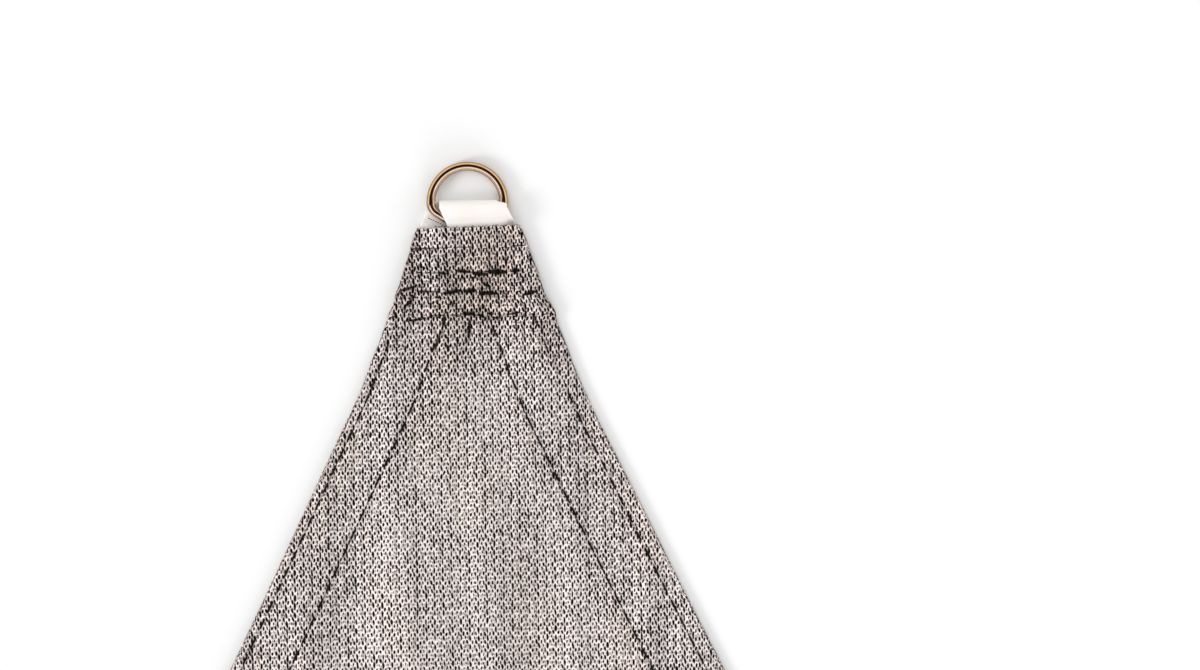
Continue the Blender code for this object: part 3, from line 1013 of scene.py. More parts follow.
@dataclass(frozen=True)
class WebbingFinish:
    """White woven webbing with a fine slanted rib."""

    colour: Colour = (0.95, 0.925, 0.90)
    dimple: Colour = (0.905, 0.872, 0.845)
    pitch: float = 1.25 * MM

    def make(self) -> bpy.types.Material:
        """Builds the material.

        Returns:
            The material.
        """
        board = Coat("white_webbing")
        place = board.add("UVMap", uv_map="cloth").outputs[0]
        parts = board.add("SeparateXYZ", {0: place}).outputs
        turns = 2 * math.pi / self.pitch
        slanted = board.sum("MULTIPLY_ADD", parts[0], 0.55, parts[1])
        rib = board.sum("SINE", board.sum("MULTIPLY", slanted, turns))
        pick = board.sum("SINE", board.sum("MULTIPLY", parts[0], turns * 0.8))
        dots = board.sum("MULTIPLY", rib, pick)
        grain = board.grain(place, 500.0)
        share = board.sum("MULTIPLY_ADD", grain, 0.7, board.ease(dots, -0.2, 0.9, -0.25, 0.55))
        colour = board.blend(board.span(share, 0.0, 1.0, 0.0, 1.0), self.colour, self.dimple)
        soft = board.grain(place, 60.0, 2.0)
        tint = board.blend(board.ease(soft, 0.3, 0.7, 0.0, 1.0), (1, 1, 1), (1.0, 0.965, 0.94))
        board.paint(board.blend(1.0, colour, tint, "MULTIPLY"), 0.8, 0.2)
        height = board.sum("MULTIPLY_ADD", dots, 0.5, board.sum("MULTIPLY", rib, 0.4))
        board.relief(height, 0.35, 0.15 * MM)
        return board.material


@dataclass(frozen=True)
class ThreadFinish:
    """Dark twisted sewing thread."""

    colour: Colour = (0.008, 0.006, 0.006)

    def make(self) -> bpy.types.Material:
        """Builds the material.

        Returns:
            The material.
        """
        board = Coat("dark_thread")
        place = board.add("TexCoord").outputs["Object"]
        ply = board.grain(place, 1400.0)
        lighter = tuple(3.2 * part for part in self.colour)
        colour = board.blend(board.ease(ply, 0.4, 0.75, 0.0, 1.0), self.colour, lighter)
        board.paint(colour, 0.9, 0.1)
        board.relief(ply, 0.4, 0.1 * MM)
        return board.material


@dataclass(frozen=True)
class SteelFinish:
    """Polished round wire with the faintest draw marks."""

    colour: Colour = (0.80, 0.70, 0.60)

    def make(self) -> bpy.types.Material:
        """Builds the material.

        Returns:
            The material.
        """
        board = Coat("polished_wire")
        place = board.add("TexCoord").outputs["Object"]
        cloud = board.grain(place, 260.0, 3.0)
        warm = tuple(part * level for part, level in zip(self.colour, (0.93, 0.86, 0.76)))
        colour = board.blend(board.ease(cloud, 0.4, 0.7, 0.0, 1.0), self.colour, warm)
        board.paint(colour, board.span(cloud, 0.3, 0.7, 0.045, 0.085))
        board.surface.inputs["Metallic"].default_value = 1.0
        board.relief(board.grain(place, 900.0), 0.05, 0.05 * MM)
        return board.material


@dataclass(frozen=True)
class FloorFinish:
    """Plain pale studio floor."""

    colour: Colour = (0.90, 0.90, 0.90)
    # Painted reflection: what rays mirrored off the steel see instead of the floor's white.
    mirrored: Colour = (0.50, 0.37, 0.27)

    def make(self) -> bpy.types.Material:
        """Builds the material, with a painted reflection: browner where the steel mirrors it.

        Returns:
            The material.
        """
        board = Coat("studio_floor")
        rays = board.add("LightPath").outputs["Is Glossy Ray"]
        colour = board.blend(rays, self.colour, self.mirrored)
        board.paint(colour, 1.0, 0.0)
        return board.material


# Mesh helpers


def linked(name: str, data: bpy.types.ID) -> bpy.types.Object:
    """Puts a mesh, a lamp or a camera into the scene as an object.

    Args:
        name: Its name.
        data: The mesh, lamp or camera.

    Returns:
        The object.
    """
    thing = bpy.data.objects.new(name, data)
    bpy.context.scene.collection.objects.link(thing)
    return thing


class FormMesh:
    """A mesh in the making."""

    def __init__(self) -> None:
        """Starts an empty mesh."""
        self.form = bmesh.new()

    def to_mesh(self, name: str, materials: Sequence[bpy.types.Material]) -> bpy.types.Mesh:
        """Turns what was collected into a mesh with its finishes.

        Args:
            name: Its name.
            materials: Its finishes.

        Returns:
            The mesh.
        """
        bmesh.ops.recalc_face_normals(self.form, faces=self.form.faces)
        mesh = bpy.data.meshes.new(name)
        self.form.to_mesh(mesh)
        self.form.free()
        for material in materials:
            mesh.materials.append(material)
        return mesh


class SheetMesh(FormMesh):
    """Collects sheets of points with their cloth coordinates, and makes one mesh of them."""

    def __init__(self) -> None:
        """Starts an empty mesh with its map and its layers."""
        super().__init__()
        self.map = self.form.loops.layers.uv.new("cloth")
        # The pinch and bunch layers set how much shade the knit's material paints.
        self.pinch = self.form.verts.layers.float.new("pinch")
        self.bunch = self.form.verts.layers.float.new("bunch")
        self.cool = self.form.verts.layers.float.new("cool")
        self.flat: dict[bmesh.types.BMVert, tuple[float, float]] = {}

    def spot(
        self,
        place: Vector,
        flat: tuple[float, float],
        pinch: float = 0.0,
        bunch: float = 0.0,
        cool: float = 0.0,
    ) -> bmesh.types.BMVert:
        """Adds one point with its place on the flat cloth.

        Args:
            place: Where it lies.
            flat: Where it lies on the flat cloth.
            pinch: How far the cloth is pinched there, which also sets its painted shade.
            bunch: How bunched up it is, which sets its painted shade.
            cool: How cool it looks.

        Returns:
            The new point.
        """
        vert = self.form.verts.new(place)
        vert[self.pinch] = pinch
        vert[self.bunch] = bunch
        vert[self.cool] = cool
        self.flat[vert] = flat
        return vert

    def face(self, ring: Iterable[bmesh.types.BMVert], finish: int = 0) -> None:
        """Adds one face and its map.

        Args:
            ring: Its points in order.
            finish: Number of its finish.
        """
        face = self.form.faces.new(tuple(ring))
        face.material_index = finish
        face.smooth = True
        for loop in face.loops:
            loop[self.map].uv = self.flat[loop.vert]

    def weave(
        self,
        rows: list[list[bmesh.types.BMVert]],
        flip: bool,
        finish: int = 0,
        turned: int = 0,
    ) -> None:
        """Fills a grid of points with faces.

        Args:
            rows: The grid's points.
            flip: True to turn the faces over.
            finish: Number of the finish.
            turned: How many columns at either side take the turned hem's finish.
        """
        for before, after in zip(rows, rows[1:]):
            last = len(before) - 1
            for column in range(last):
                ring = (before[column], after[column], after[column + 1], before[column + 1])
                hem = column < turned or column >= last - turned
                self.face(ring[::-1] if flip else ring, 2 if hem else finish)

    def shell(
        self,
        layers: Sequence[list[list[bmesh.types.BMVert]]],
        inner_finish: int = 0,
        turned: int = 0,
        rim_rows: tuple[int, ...] = (0, -1),
    ) -> None:
        """Fills an outer and an inner layer, and the rims between them.

        Args:
            layers: The outer and the inner grid of points.
            inner_finish: Number of the inner layer's finish.
            turned: How many outer columns at either side take the turned hem's finish.
            rim_rows: Which rows of the grids end at a rim.
        """
        outer, inner = layers
        self.weave(outer, flip=False, turned=turned)
        self.weave(inner, flip=True, finish=inner_finish)
        for column in (0, -1):
            rim = [[row[column] for row in layer] for layer in layers]
            self.weave(rim, flip=False)
        for row in rim_rows:
            self.weave([outer[row], inner[row]], flip=False)

    def finish(self, name: str, materials: Sequence[bpy.types.Material]) -> bpy.types.Object:
        """Turns what was collected into an object.

        Args:
            name: Its name.
            materials: Its finishes.

        Returns:
            The object.
        """
        bmesh.ops.remove_doubles(self.form, verts=self.form.verts, dist=SAME_POINT)
        mesh = self.to_mesh(name, materials)
        mesh.set_sharp_from_angle(angle=math.radians(60))
        return linked(name, mesh)


class TubeMesh(FormMesh):
    """Collects short round threads and makes one mesh of them."""

    def __init__(self, sides: int) -> None:
        """Starts an empty mesh for threads with so many faces round them."""
        super().__init__()
        self.sides = sides

    def thread(self, path: Sequence[Vector], radii: Sequence[float], closed: bool = False) -> None:
        """Adds one tube.

        Args:
            path: Points of its centre line.
            radii: Its radius at each point.
            closed: True for a loop with no ends.
        """
        rings = []
        count = len(path)
        for index, (place, radius) in enumerate(zip(path, radii)):
            before = path[index - 1] if index or closed else place
            after = path[(index + 1) % count] if index < count - 1 or closed else place
            ahead = (after - before).normalized()
            beside = ahead.cross(Vector((0, 0, 1)))
            beside = beside.normalized() if beside.length > 1e-9 else Vector((1, 0, 0))
            above = beside.cross(ahead)
            ring = []
            for step in range(self.sides):
                angle = 2 * math.pi * step / self.sides
                out = beside * math.cos(angle) + above * math.sin(angle)
                ring.append(self.form.verts.new(place + out * radius))
            rings.append(ring)
        pairs = list(zip(rings, rings[1:])) + ([(rings[-1], rings[0])] if closed else [])
        for before, after in pairs:
            for step in range(self.sides):
                follow = (step + 1) % self.sides
                self.form.faces.new((before[step], before[follow], after[follow], after[step]))
        if not closed:
            self.form.faces.new(rings[0][::-1])
            self.form.faces.new(rings[-1])

    def finish(self, name: str, material: bpy.types.Material) -> bpy.types.Object:
        """Turns what was collected into an object.

        Args:
            name: Its name.
            material: Its finish.

        Returns:
            The object.
        """
        mesh = self.to_mesh(name, (material,))
        mesh.shade_smooth()
        return linked(name, mesh)


# The sail's pieces


@dataclass
class SailCloth:
    """The knitted sheet with its turned-under hems."""

    shape: CornerShape
    place: SailPlace
    face: KnitFinish
    reverse: KnitFinish
    hem: KnitFinish
    # Rows in millimetres: up to where, and how far apart.
    row_steps: tuple[tuple[float, float], ...] = ((6, 0.8), (62, 0.9), (130, 2.8), (300, 12))
    far_row_step: float = 36.0
    # Columns by their distance from the hem's fold, in millimetres.
    columns: tuple[float, ...] = (
        *(0.8, 1.8, 3, 4.2, 5, 5.8, 6.6, 7.7, 9.2, 10.1, 11, 12.3, 14, 16, 18.5, 21, 23.5, 26),
        *(28.7, 31.3, 32.2, 33, 33.8, 35, 36.8, 38.8, 39.7, 40.6, 41.8, 43, 44.2, 45.6, 47, 49),
        *(51, 53.5, 56.5, 61, 67, 75, 87, 104, 130, 170, 230, 310),
    )
    groove_deep: float = 0.6 * MM
    edge_turns: int = 4
    hem_columns: int = 10
    # Half the width of the stitches' groove, and how dark the stitches make it.
    groove_half: float = 1.2 * MM
    groove_pinch: float = 0.66
    # On the flap: the same half width, how deep it is, and the rows of points beside it.
    flap_groove_half: float = 0.95 * MM
    flap_groove: float = 0.9
    flap_near: float = 1.3 * MM
    # Length of cloth round the hem's fold.
    fold_arc: float = math.pi * 2.2 * MM
    # The fold's direction is evened out over this far to either side.
    fold_reach: float = 25 * MM
    # Painted shade: bunched knit is painted darker, as if shaded by its folds.
    # How bunched up the knit looks: on the flap, over the hems, and how soon past them it isn't.
    flap_bunch: float = 0.2
    hem_bunch: float = 0.28
    hem_bunch_run: float = 3 * MM
    # A swelling's top is painted less shaded than the valleys beside it.
    # The same at a corner, and how much a swelling takes off it for each millimetre.
    corner_bunch: float = 1.25
    swell_bunch: float = 0.16
    # By what share it is less, from where and over how far: at the cut end, below the last
    # seam, and past the gathers.
    tip_less: tuple[float, float, float] = (0.38, 4 * MM, 24 * MM)
    below_less: tuple[float, float, float] = (0.42, 54 * MM, 8 * MM)
    end_less: tuple[float, float, float] = (1.0, 72 * MM, 36 * MM)
    # How far the cloth looks cooler beside the hem's inner stitches, and where that starts.
    cool_band: float = 9 * MM
    cool_start: float = 50 * MM
    cool_run: float = 60 * MM
    # Heights of the loose sheet's long and short waves in millimetres, and where they end.
    long_wave: float = 0.16
    short_wave: float = 0.09
    wave_end: float = 560 * MM
    wave_run: float = 250 * MM

    def rows(self) -> list[float]:
        """Where each row of points meets the hem's fold.

        Returns:
            Their places along the corner.
        """
        places = [0.0]
        for end, step in (*self.row_steps, (self.shape.last_row / MM, self.far_row_step)):
            start = places[-1]
            count = round((end - start) / step)
            places += [start + (end - start) * (i + 1) / count for i in range(count)]
        return [place * MM for place in places]

    def bunched(self, along: float, past_hem: float) -> float:
        """How bunched up the cloth is, most at the tip, and a little over the hems.

        Args:
            along: Place along the corner.
            past_hem: Distance past the hem's inner edge.

        Returns:
            The bunching, 0 where it lies loose.
        """
        double = self.hem_bunch * (1 - smooth(past_hem / self.hem_bunch_run))
        less, start, run = self.tip_less
        bunch = self.corner_bunch * (1 - less * (1 - smooth((along - start) / run)))
        for less, start, run in (self.below_less, self.end_less):
            bunch *= 1 - less * smooth((along - start) / run)
        return max(bunch, double)

    def top_half(self, along: float, side: int) -> list[ClothSpot]:
        """Upper sheet of a half row, from the hem's fold to the axis.

        Args:
            along: Where the row meets the fold.
            side: -1 for the left half and 1 for the right.

        Returns:
            Outer point, inner point, pinch, bunching and coolness of each place.
        """
        shape = self.shape
        edge, way, normal = shape.row_line(along)
        depth = way.dot(normal)
        hem = shape.hem_width(along, side)
        inner = shape.line_distance(StitchLine.INNER, along, side)
        count = len(self.columns) + 1
        found = []
        for index, distance in enumerate((*self.columns, None)):
            even = (index + 1) / count
            share = even if distance is None else min(distance * MM / depth, even)
            spot = edge + way * share
            away = depth * share
            across = side * spot.y
            high, pinch = shape.cloth_high(spot.x, across, away, hem)
            sunk = shape.groove(spot.x, side, away, self.groove_half)
            loose = 1 - smooth((along - self.wave_end) / self.wave_run)
            top = high + shape.thick - self.groove_deep * sunk
            top += loose * (1 - sunk) * self.ripple(spot.x, across, away)
            # The stitches' groove is also painted dark, as shade, through the pinch layer.
            pinch = max(pinch, self.groove_pinch * sunk)
            # Swellings take bunching off, so bulge tops are painted less shaded than valleys.
            swell = shape.gathers.bulge(spot.x / MM, across / MM)
            swell += shape.gathers.fan(spot.x / MM, across / MM)
            bunch = max(self.bunched(spot.x, away - hem) - self.swell_bunch * swell, 0.0)
            low = Vector((spot.x, across, high))
            cool = bell(away - inner + self.cool_band, self.cool_band)
            cool *= smooth((spot.x - self.cool_start) / self.cool_run)
            found.append((Vector((spot.x, across, top)), low, pinch, bunch, cool))
        return found

    def ripple(self, along: float, across: float, from_edge: float) -> float:
        """The sheet's slight unevenness where it lies loose.

        Args:
            along: Place along the corner.
            across: Place across the corner.
            from_edge: Distance from the hem's fold.

        Returns:
            The rise.
        """
        x, y = along / MM, across / MM
        long = math.sin(y / 9.5 + 1.7 * math.sin(x / 61)) * math.sin(x / 83 + 0.6)
        short = math.sin(y / 4.3 + x / 37 + 2.0 * math.sin(y / 31)) * math.sin(x / 29 + y / 53)
        size = self.long_wave * long + self.short_wave * short
        return size * MM * smooth(along / (60 * MM)) * smooth((from_edge - 1 * MM) / (6 * MM))

    def fold_half(self, along: float, side: int) -> list[ClothSpot]:
        """The hem's folded edge of a half row, from above to below.

        Args:
            along: Place along the corner.
            side: -1 for the left side and 1 for the right.

        Returns:
            Its places in order.
        """
        shape = self.shape
        edge, _, normal = shape.row_line(along)
        hem = shape.hem_width(along, side)
        half = shape.thick / 2
        upper = shape.cloth_high(along, side * edge.y, 0.0, hem)[0] + half
        tall = (upper - half) / 2
        deep = shape.hem_fold_depth * tall
        rim = edge + normal * half
        found = []
        for step in range(self.edge_turns + 1):
            angle = math.pi / 2 - math.pi * step / self.edge_turns
            spot = rim + normal * (deep * (1 - math.cos(angle)))
            high = (upper + half) / 2 + tall * math.sin(angle)
            out = Vector((*(-normal * math.cos(angle)), math.sin(angle)))
            centre = Vector((spot.x, side * spot.y, high))
            out = Vector((out.x, side * out.y, out.z)) * half
            found.append((centre + out, centre - out, 0.0, self.bunched(spot.x, -hem), 0.0))
        return found

    def flap_half(self, along: float, side: int) -> list[ClothSpot]:
        """The turned-under flap of a half row, from the fold inwards.

        Args:
            along: Place along the corner.
            side: -1 for the left side and 1 for the right.

        Returns:
            Its places in order.
        """
        shape = self.shape
        hem = shape.hem_width(along, side)
        outer = shape.line_distance(StitchLine.OUTER, along, side)
        inner = shape.line_distance(StitchLine.INNER, along, side)
        near = self.flap_near
        distances = (outer - near, outer, outer + near, (outer + inner) / 2)
        distances += (inner - near, inner, inner + near, hem)
        found = []
        for distance in distances:
            flap_share = distance / hem
            _, way, normal = shape.row_line(along)
            share = min(flap_share * hem / way.dot(normal), flap_share)
            fade = max(0.0, 1 - along / shape.notch_fade)
            edge, way, normal = shape.row_line(along + shape.strap.notch * share * fade)
            limit = flap_share * (1 - shape.mitre_gap / way.length)
            share = min(flap_share * hem / way.dot(normal), limit)
            spot = edge + way * share
            from_fold = share * way.dot(normal)
            sunk = shape.groove(spot.x, side, from_fold, self.flap_groove_half)
            low = Vector((spot.x, side * spot.y, self.flap_groove * self.groove_deep * sunk))
            top = Vector((spot.x, side * spot.y, shape.thick))
            found.append((low, top, 0.0, self.flap_bunch, 0.0))
        return found

    def fold_normal(self, along: float) -> Vector:
        """The sail edge's inward normal, evened out over a short length.

        Args:
            along: Place along the corner.

        Returns:
            The normal.
        """
        before = self.shape.row_line(max(along - self.fold_reach, 0.0))[0]
        after = self.shape.row_line(min(along + self.fold_reach, self.shape.last_row))[0]
        ahead = (after - before).normalized()
        return Vector((ahead.y, -ahead.x))

    def flat_row(self, along: float) -> list[tuple[float, float]]:
        """Flat cloth coordinates of a row in the corner's own frame, left flap to right flap.

        Args:
            along: Place along the corner.

        Returns:
            The coordinates of each place.
        """
        halves = []
        for side in (-1, 1):
            top = [(spot[0].x, spot[0].y) for spot in self.top_half(along, side)]
            edge = self.shape.row_line(along)[0]
            normal = self.fold_normal(along)
            folded = []
            for step in range(self.edge_turns + 1):
                out = edge - normal * (self.fold_arc * step / self.edge_turns)
                folded.append((out.x, side * out.y))
            under = []
            for low, *_ in self.flap_half(along, side):
                spot = Vector((low.x, abs(low.y)))
                out = spot - normal * (2 * (spot - edge).dot(normal) + self.fold_arc)
                under.append((out.x, side * out.y))
            halves.append(under[::-1] + folded[::-1] + top)
        return halves[0] + halves[1][-2::-1]

    def full_row(self, along: float) -> list[ClothSpot]:
        """All places of a row, from the left flap over the face to the right flap.

        Args:
            along: Place along the corner.

        Returns:
            The places in order.
        """
        halves = []
        for side in (-1, 1):
            flap = self.flap_half(along, side)
            fold = self.fold_half(along, side)
            halves.append(flap[::-1] + fold[::-1] + self.top_half(along, side))
        return halves[0] + halves[1][-2::-1]

    def build(self) -> bpy.types.Object:
        """Builds the sheet from three like corners.

        Returns:
            The sheet.
        """
        form = SheetMesh()
        places = self.rows()
        rows = [self.full_row(along) for along in places]
        flats = [self.flat_row(along) for along in places]
        for corner in Corner:
            layers: list[list[list[bmesh.types.BMVert]]] = []
            for layer in (0, 1):
                made = []
                for along, row, flat in zip(places, rows, flats):
                    line = []
                    for spot, (x, y) in zip(row, flat):
                        there = self.place.point(Vector((x, y, 0.0)), corner)
                        at = self.place.settled(spot[layer], corner)
                        line.append(form.spot(at, (there.x, there.y), *spot[2:]))
                    made.append(line)
                layers.append(made)
            form.shell(layers, inner_finish=1, turned=self.hem_columns, rim_rows=(0,))
        finishes = (self.face.make(), self.reverse.make(), self.hem.make())
        return form.finish("knitted_sheet", finishes)


@dataclass
class Stitches:
    """Dark stitches along the hems and across the gathered corners."""

    shape: CornerShape
    place: SailPlace
    finish: ThreadFinish
    pitch: float = 12.4 * MM
    shortest: float = 6.8 * MM
    longest: float = 9.6 * MM
    radius: float = 0.70 * MM
    # How close the hems' stitches stand, as a share of their plain pitch and length.
    closeness: float = 0.85
    # Where the outer and the inner line start, and where the inner one shows below only.
    line_starts: tuple[float, float] = (24 * MM, 60 * MM)
    below_only: tuple[float, float] = (41.5 * MM, 51 * MM)
    cross_pitch: float = 5.6 * MM
    cross_longest: float = 3.6 * MM
    cross_radius: float = 0.42 * MM
    # How much of each cross seam's thread shows.
    cross_weights: tuple[float, ...] = (0.8, 0.7, 0.65, 0.7)
    leg_radius: float = 0.28 * MM
    # Height of the middle of a thread under the hem.
    under_high: float = 0.58 * MM
    # Rows of stitches on the underside of a corner: along and length in millimetres, share
    # that shows.
    under_rows: tuple[tuple[float, float, float], ...] = (
        (12.8, 4.2, 0.95),
        (14.4, 3.6, 0.85),
        (27.6, 1.9, 0.7),
        (39.8, 1.9, 0.7),
        (55.2, 1.9, 0.6),
    )
    # Rows of small stitches on the strap's back leg, in millimetres: along, across, end along,
    # end across, how many.
    leg_rows: tuple[tuple[float, float, float, float, int], ...] = (
        (-5.9, -26.1, -0.9, -16.2, 8),
        (-0.7, -22.0, -0.3, -14.8, 5),
    )
    # Where the face's stitches start to show along the outer and the inner line, in
    # millimetres: left side, right side.
    shows: tuple[tuple[float, float], tuple[float, float]] = ((66, 92), (58, 62))

    def seam_point(self, line: StitchLine, along: float, side: int) -> Vector:
        """Where a hem's stitch line lies, on the upper sheet.

        Args:
            line: Which of the hem's lines.
            along: Place along the corner.
            side: -1 for the left side and 1 for the right.

        Returns:
            The point in the corner.
        """
        edge, _, normal = self.shape.row_line(along)
        away = self.shape.line_distance(line, along, side)
        spot = edge + normal * away
        hem = self.shape.hem_width(along, side)
        high = self.shape.cloth_high(spot.x, side * spot.y, away, hem)[0]
        return Vector((spot.x, side * spot.y, high + self.shape.thick))

    def dash(self, tubes: TubeMesh, path: list[Vector], radius: float) -> None:
        """Adds one stitch that dips in at both ends.

        Args:
            tubes: Mesh that takes the stitches.
            path: Points of its centre line.
            radius: Its radius in the middle.
        """
        count = len(path) - 1
        radii = []
        sunk = []
        for index, spot in enumerate(path):
            end = abs(2 * index / count - 1) ** 6
            radii.append(radius * (1 - 0.3 * end))
            sunk.append(spot - Vector((0, 0, 1.1 * radius * end)))
        tubes.thread(sunk, radii)

    def hem_line(
        self, tubes: TubeMesh, corner: Corner, line: StitchLine, side: int, rng: random.Random
    ) -> None:
        """Sews one stitch line from a corner to the middle of a side, on both faces.

        Args:
            tubes: Mesh that takes the stitches.
            corner: The corner to sew at.
            line: Which of the hem's lines.
            side: -1 for the left hem and 1 for the right.
            rng: Source of the small differences.
        """
        number = list(StitchLine).index(line)
        if line is StitchLine.INNER:
            for start in self.below_only:
                places = [start + self.shortest * step / 5 for step in range(6)]
                path = self.hem_path(corner, line, side, places, True)
                tubes.thread(path, [self.radius] * len(path))
        along = self.line_starts[number]
        shown = self.shows[number][0 if side < 0 else 1] * MM
        end = self.shape.last_row
        while along < end - 4 * MM:
            length = rng.uniform(self.shortest, self.longest)
            for under in (False, True):
                start = along + (self.pitch / 2 if under else 0.0)
                run = length * self.closeness
                places = [min(start + run * step / 5, end) for step in range(6)]
                path = self.hem_path(corner, line, side, places, under)
                if under:
                    lift = Vector((0, 0, 0.6 * self.radius))
                    path = [path[0] + lift, *path[1:-1], path[-1] + lift]
                    tubes.thread(path, [self.radius] * len(path))
                elif along > shown:
                    self.dash(tubes, path, self.radius * rng.uniform(0.9, 1.15))
            along += self.pitch * self.closeness * rng.uniform(0.92, 1.1)

    def hem_path(
        self, corner: Corner, line: StitchLine, side: int, places: Sequence[float], under: bool
    ) -> list[Vector]:
        """Points of one stitch in a hem's line.

        Args:
            corner: The corner it lies at.
            line: Which of the hem's lines.
            side: -1 for the left hem and 1 for the right.
            places: Where its points lie along the corner.
            under: True for the underside and False for the face.

        Returns:
            The points in the frame.
        """
        path = []
        for along in places:
            spot = self.seam_point(line, along, side)
            spot.z = self.under_high if under else spot.z - (0.5 * MM - 0.5 * self.radius)
            path.append(self.place.settled(spot, corner))
        return path

    def cross_line(
        self, tubes: TubeMesh, corner: Corner, seam: float, weight: float, rng: random.Random
    ) -> None:
        """Sews one seam across a corner's gathered cloth.

        Args:
            tubes: Mesh that takes the stitches.
            corner: The corner to sew at.
            seam: Distance of the seam along the corner.
            weight: How much of the thread shows, from 0 to 1.
            rng: Source of the small differences.
        """
        half = self.shape.half_width(seam)
        across = -half + 3 * MM
        while across < half - 5 * MM:
            length = self.cross_longest * rng.uniform(0.5, 1.0)
            if rng.random() < weight:
                path = []
                for step in range(5):
                    y = across + length * step / 4
                    x = seam + 0.5 * MM * math.sin(y / (7.3 * MM) + seam / MM)
                    away = half - abs(y)
                    hem = self.shape.hem_width(x, 1 if y > 0 else -1)
                    high = self.shape.cloth_high(x, y, away, hem)[0] + self.shape.thick
                    path.append(self.place.settled(Vector((x, y, high - 0.1 * MM)), corner))
                self.dash(tubes, path, self.cross_radius)
            across += self.cross_pitch * rng.uniform(0.85, 1.2)

    def under_line(
        self, tubes: TubeMesh, corner: Corner, row: tuple[float, float, float], rng: random.Random
    ) -> None:
        """Sews one row across the underside of a corner.

        Args:
            tubes: Mesh that takes the stitches.
            corner: The corner to sew at.
            row: The row's place along, its stitches' length in millimetres, share that shows.
            rng: Source of the small differences.
        """
        along, length, weight = row
        half = self.shape.half_width(along * MM)
        across = -half + 4 * MM
        while across < half - 6 * MM:
            long = length * MM * rng.uniform(0.75, 1.1)
            slant = rng.uniform(-0.3, 0.3)
            if rng.random() < weight:
                path = []
                for step in range(4):
                    y = across + long * step / 3
                    x = along * MM + slant * (y - across)
                    path.append(self.place.settled(Vector((x, y, 0.3 * MM)), corner))
                tubes.thread(path, [self.cross_radius] * len(path))
            across += self.cross_pitch * rng.uniform(0.85, 1.15)

    def leg_stitches(self, tubes: TubeMesh, corner: Corner, rng: random.Random) -> None:
        """Sews the small rows that show on the strap's back leg.

        Args:
            tubes: Mesh that takes the stitches.
            corner: The corner they lie at.
            rng: Source of the small differences.
        """
        strap = self.shape.strap
        for x, y, end_x, end_y, count in self.leg_rows:
            for number in range(count):
                share = number / (count - 1)
                along = (x + share * (end_x - x) + rng.uniform(-0.15, 0.15)) * MM
                across = (y + share * (end_y - y)) * MM
                path = []
                for step in (-1, 0, 1):
                    beside = across + 0.45 * MM * step
                    high = strap.back_high(along, beside) + strap.thick
                    path.append(self.place.point(Vector((along, beside, high)), corner))
                tubes.thread(path, [self.leg_radius] * len(path))

    def build(self) -> list[bpy.types.Object]:
        """Sews every corner.

        Returns:
            The stitches, one object a corner.
        """
        material = self.finish.make()
        made = []
        for number, corner in enumerate(Corner):
            rng = random.Random(71 + number)
            tubes = TubeMesh(5)
            for line in StitchLine:
                for side in (-1, 1):
                    self.hem_line(tubes, corner, line, side, rng)
            for seam, weight in zip(self.shape.gathers.seams, self.cross_weights):
                self.cross_line(tubes, corner, seam * MM, weight, rng)
            for row in self.under_rows:
                self.under_line(tubes, corner, row, rng)
            self.leg_stitches(tubes, corner, rng)
            made.append(tubes.finish(f"stitches_{corner.word}", material))
        return made


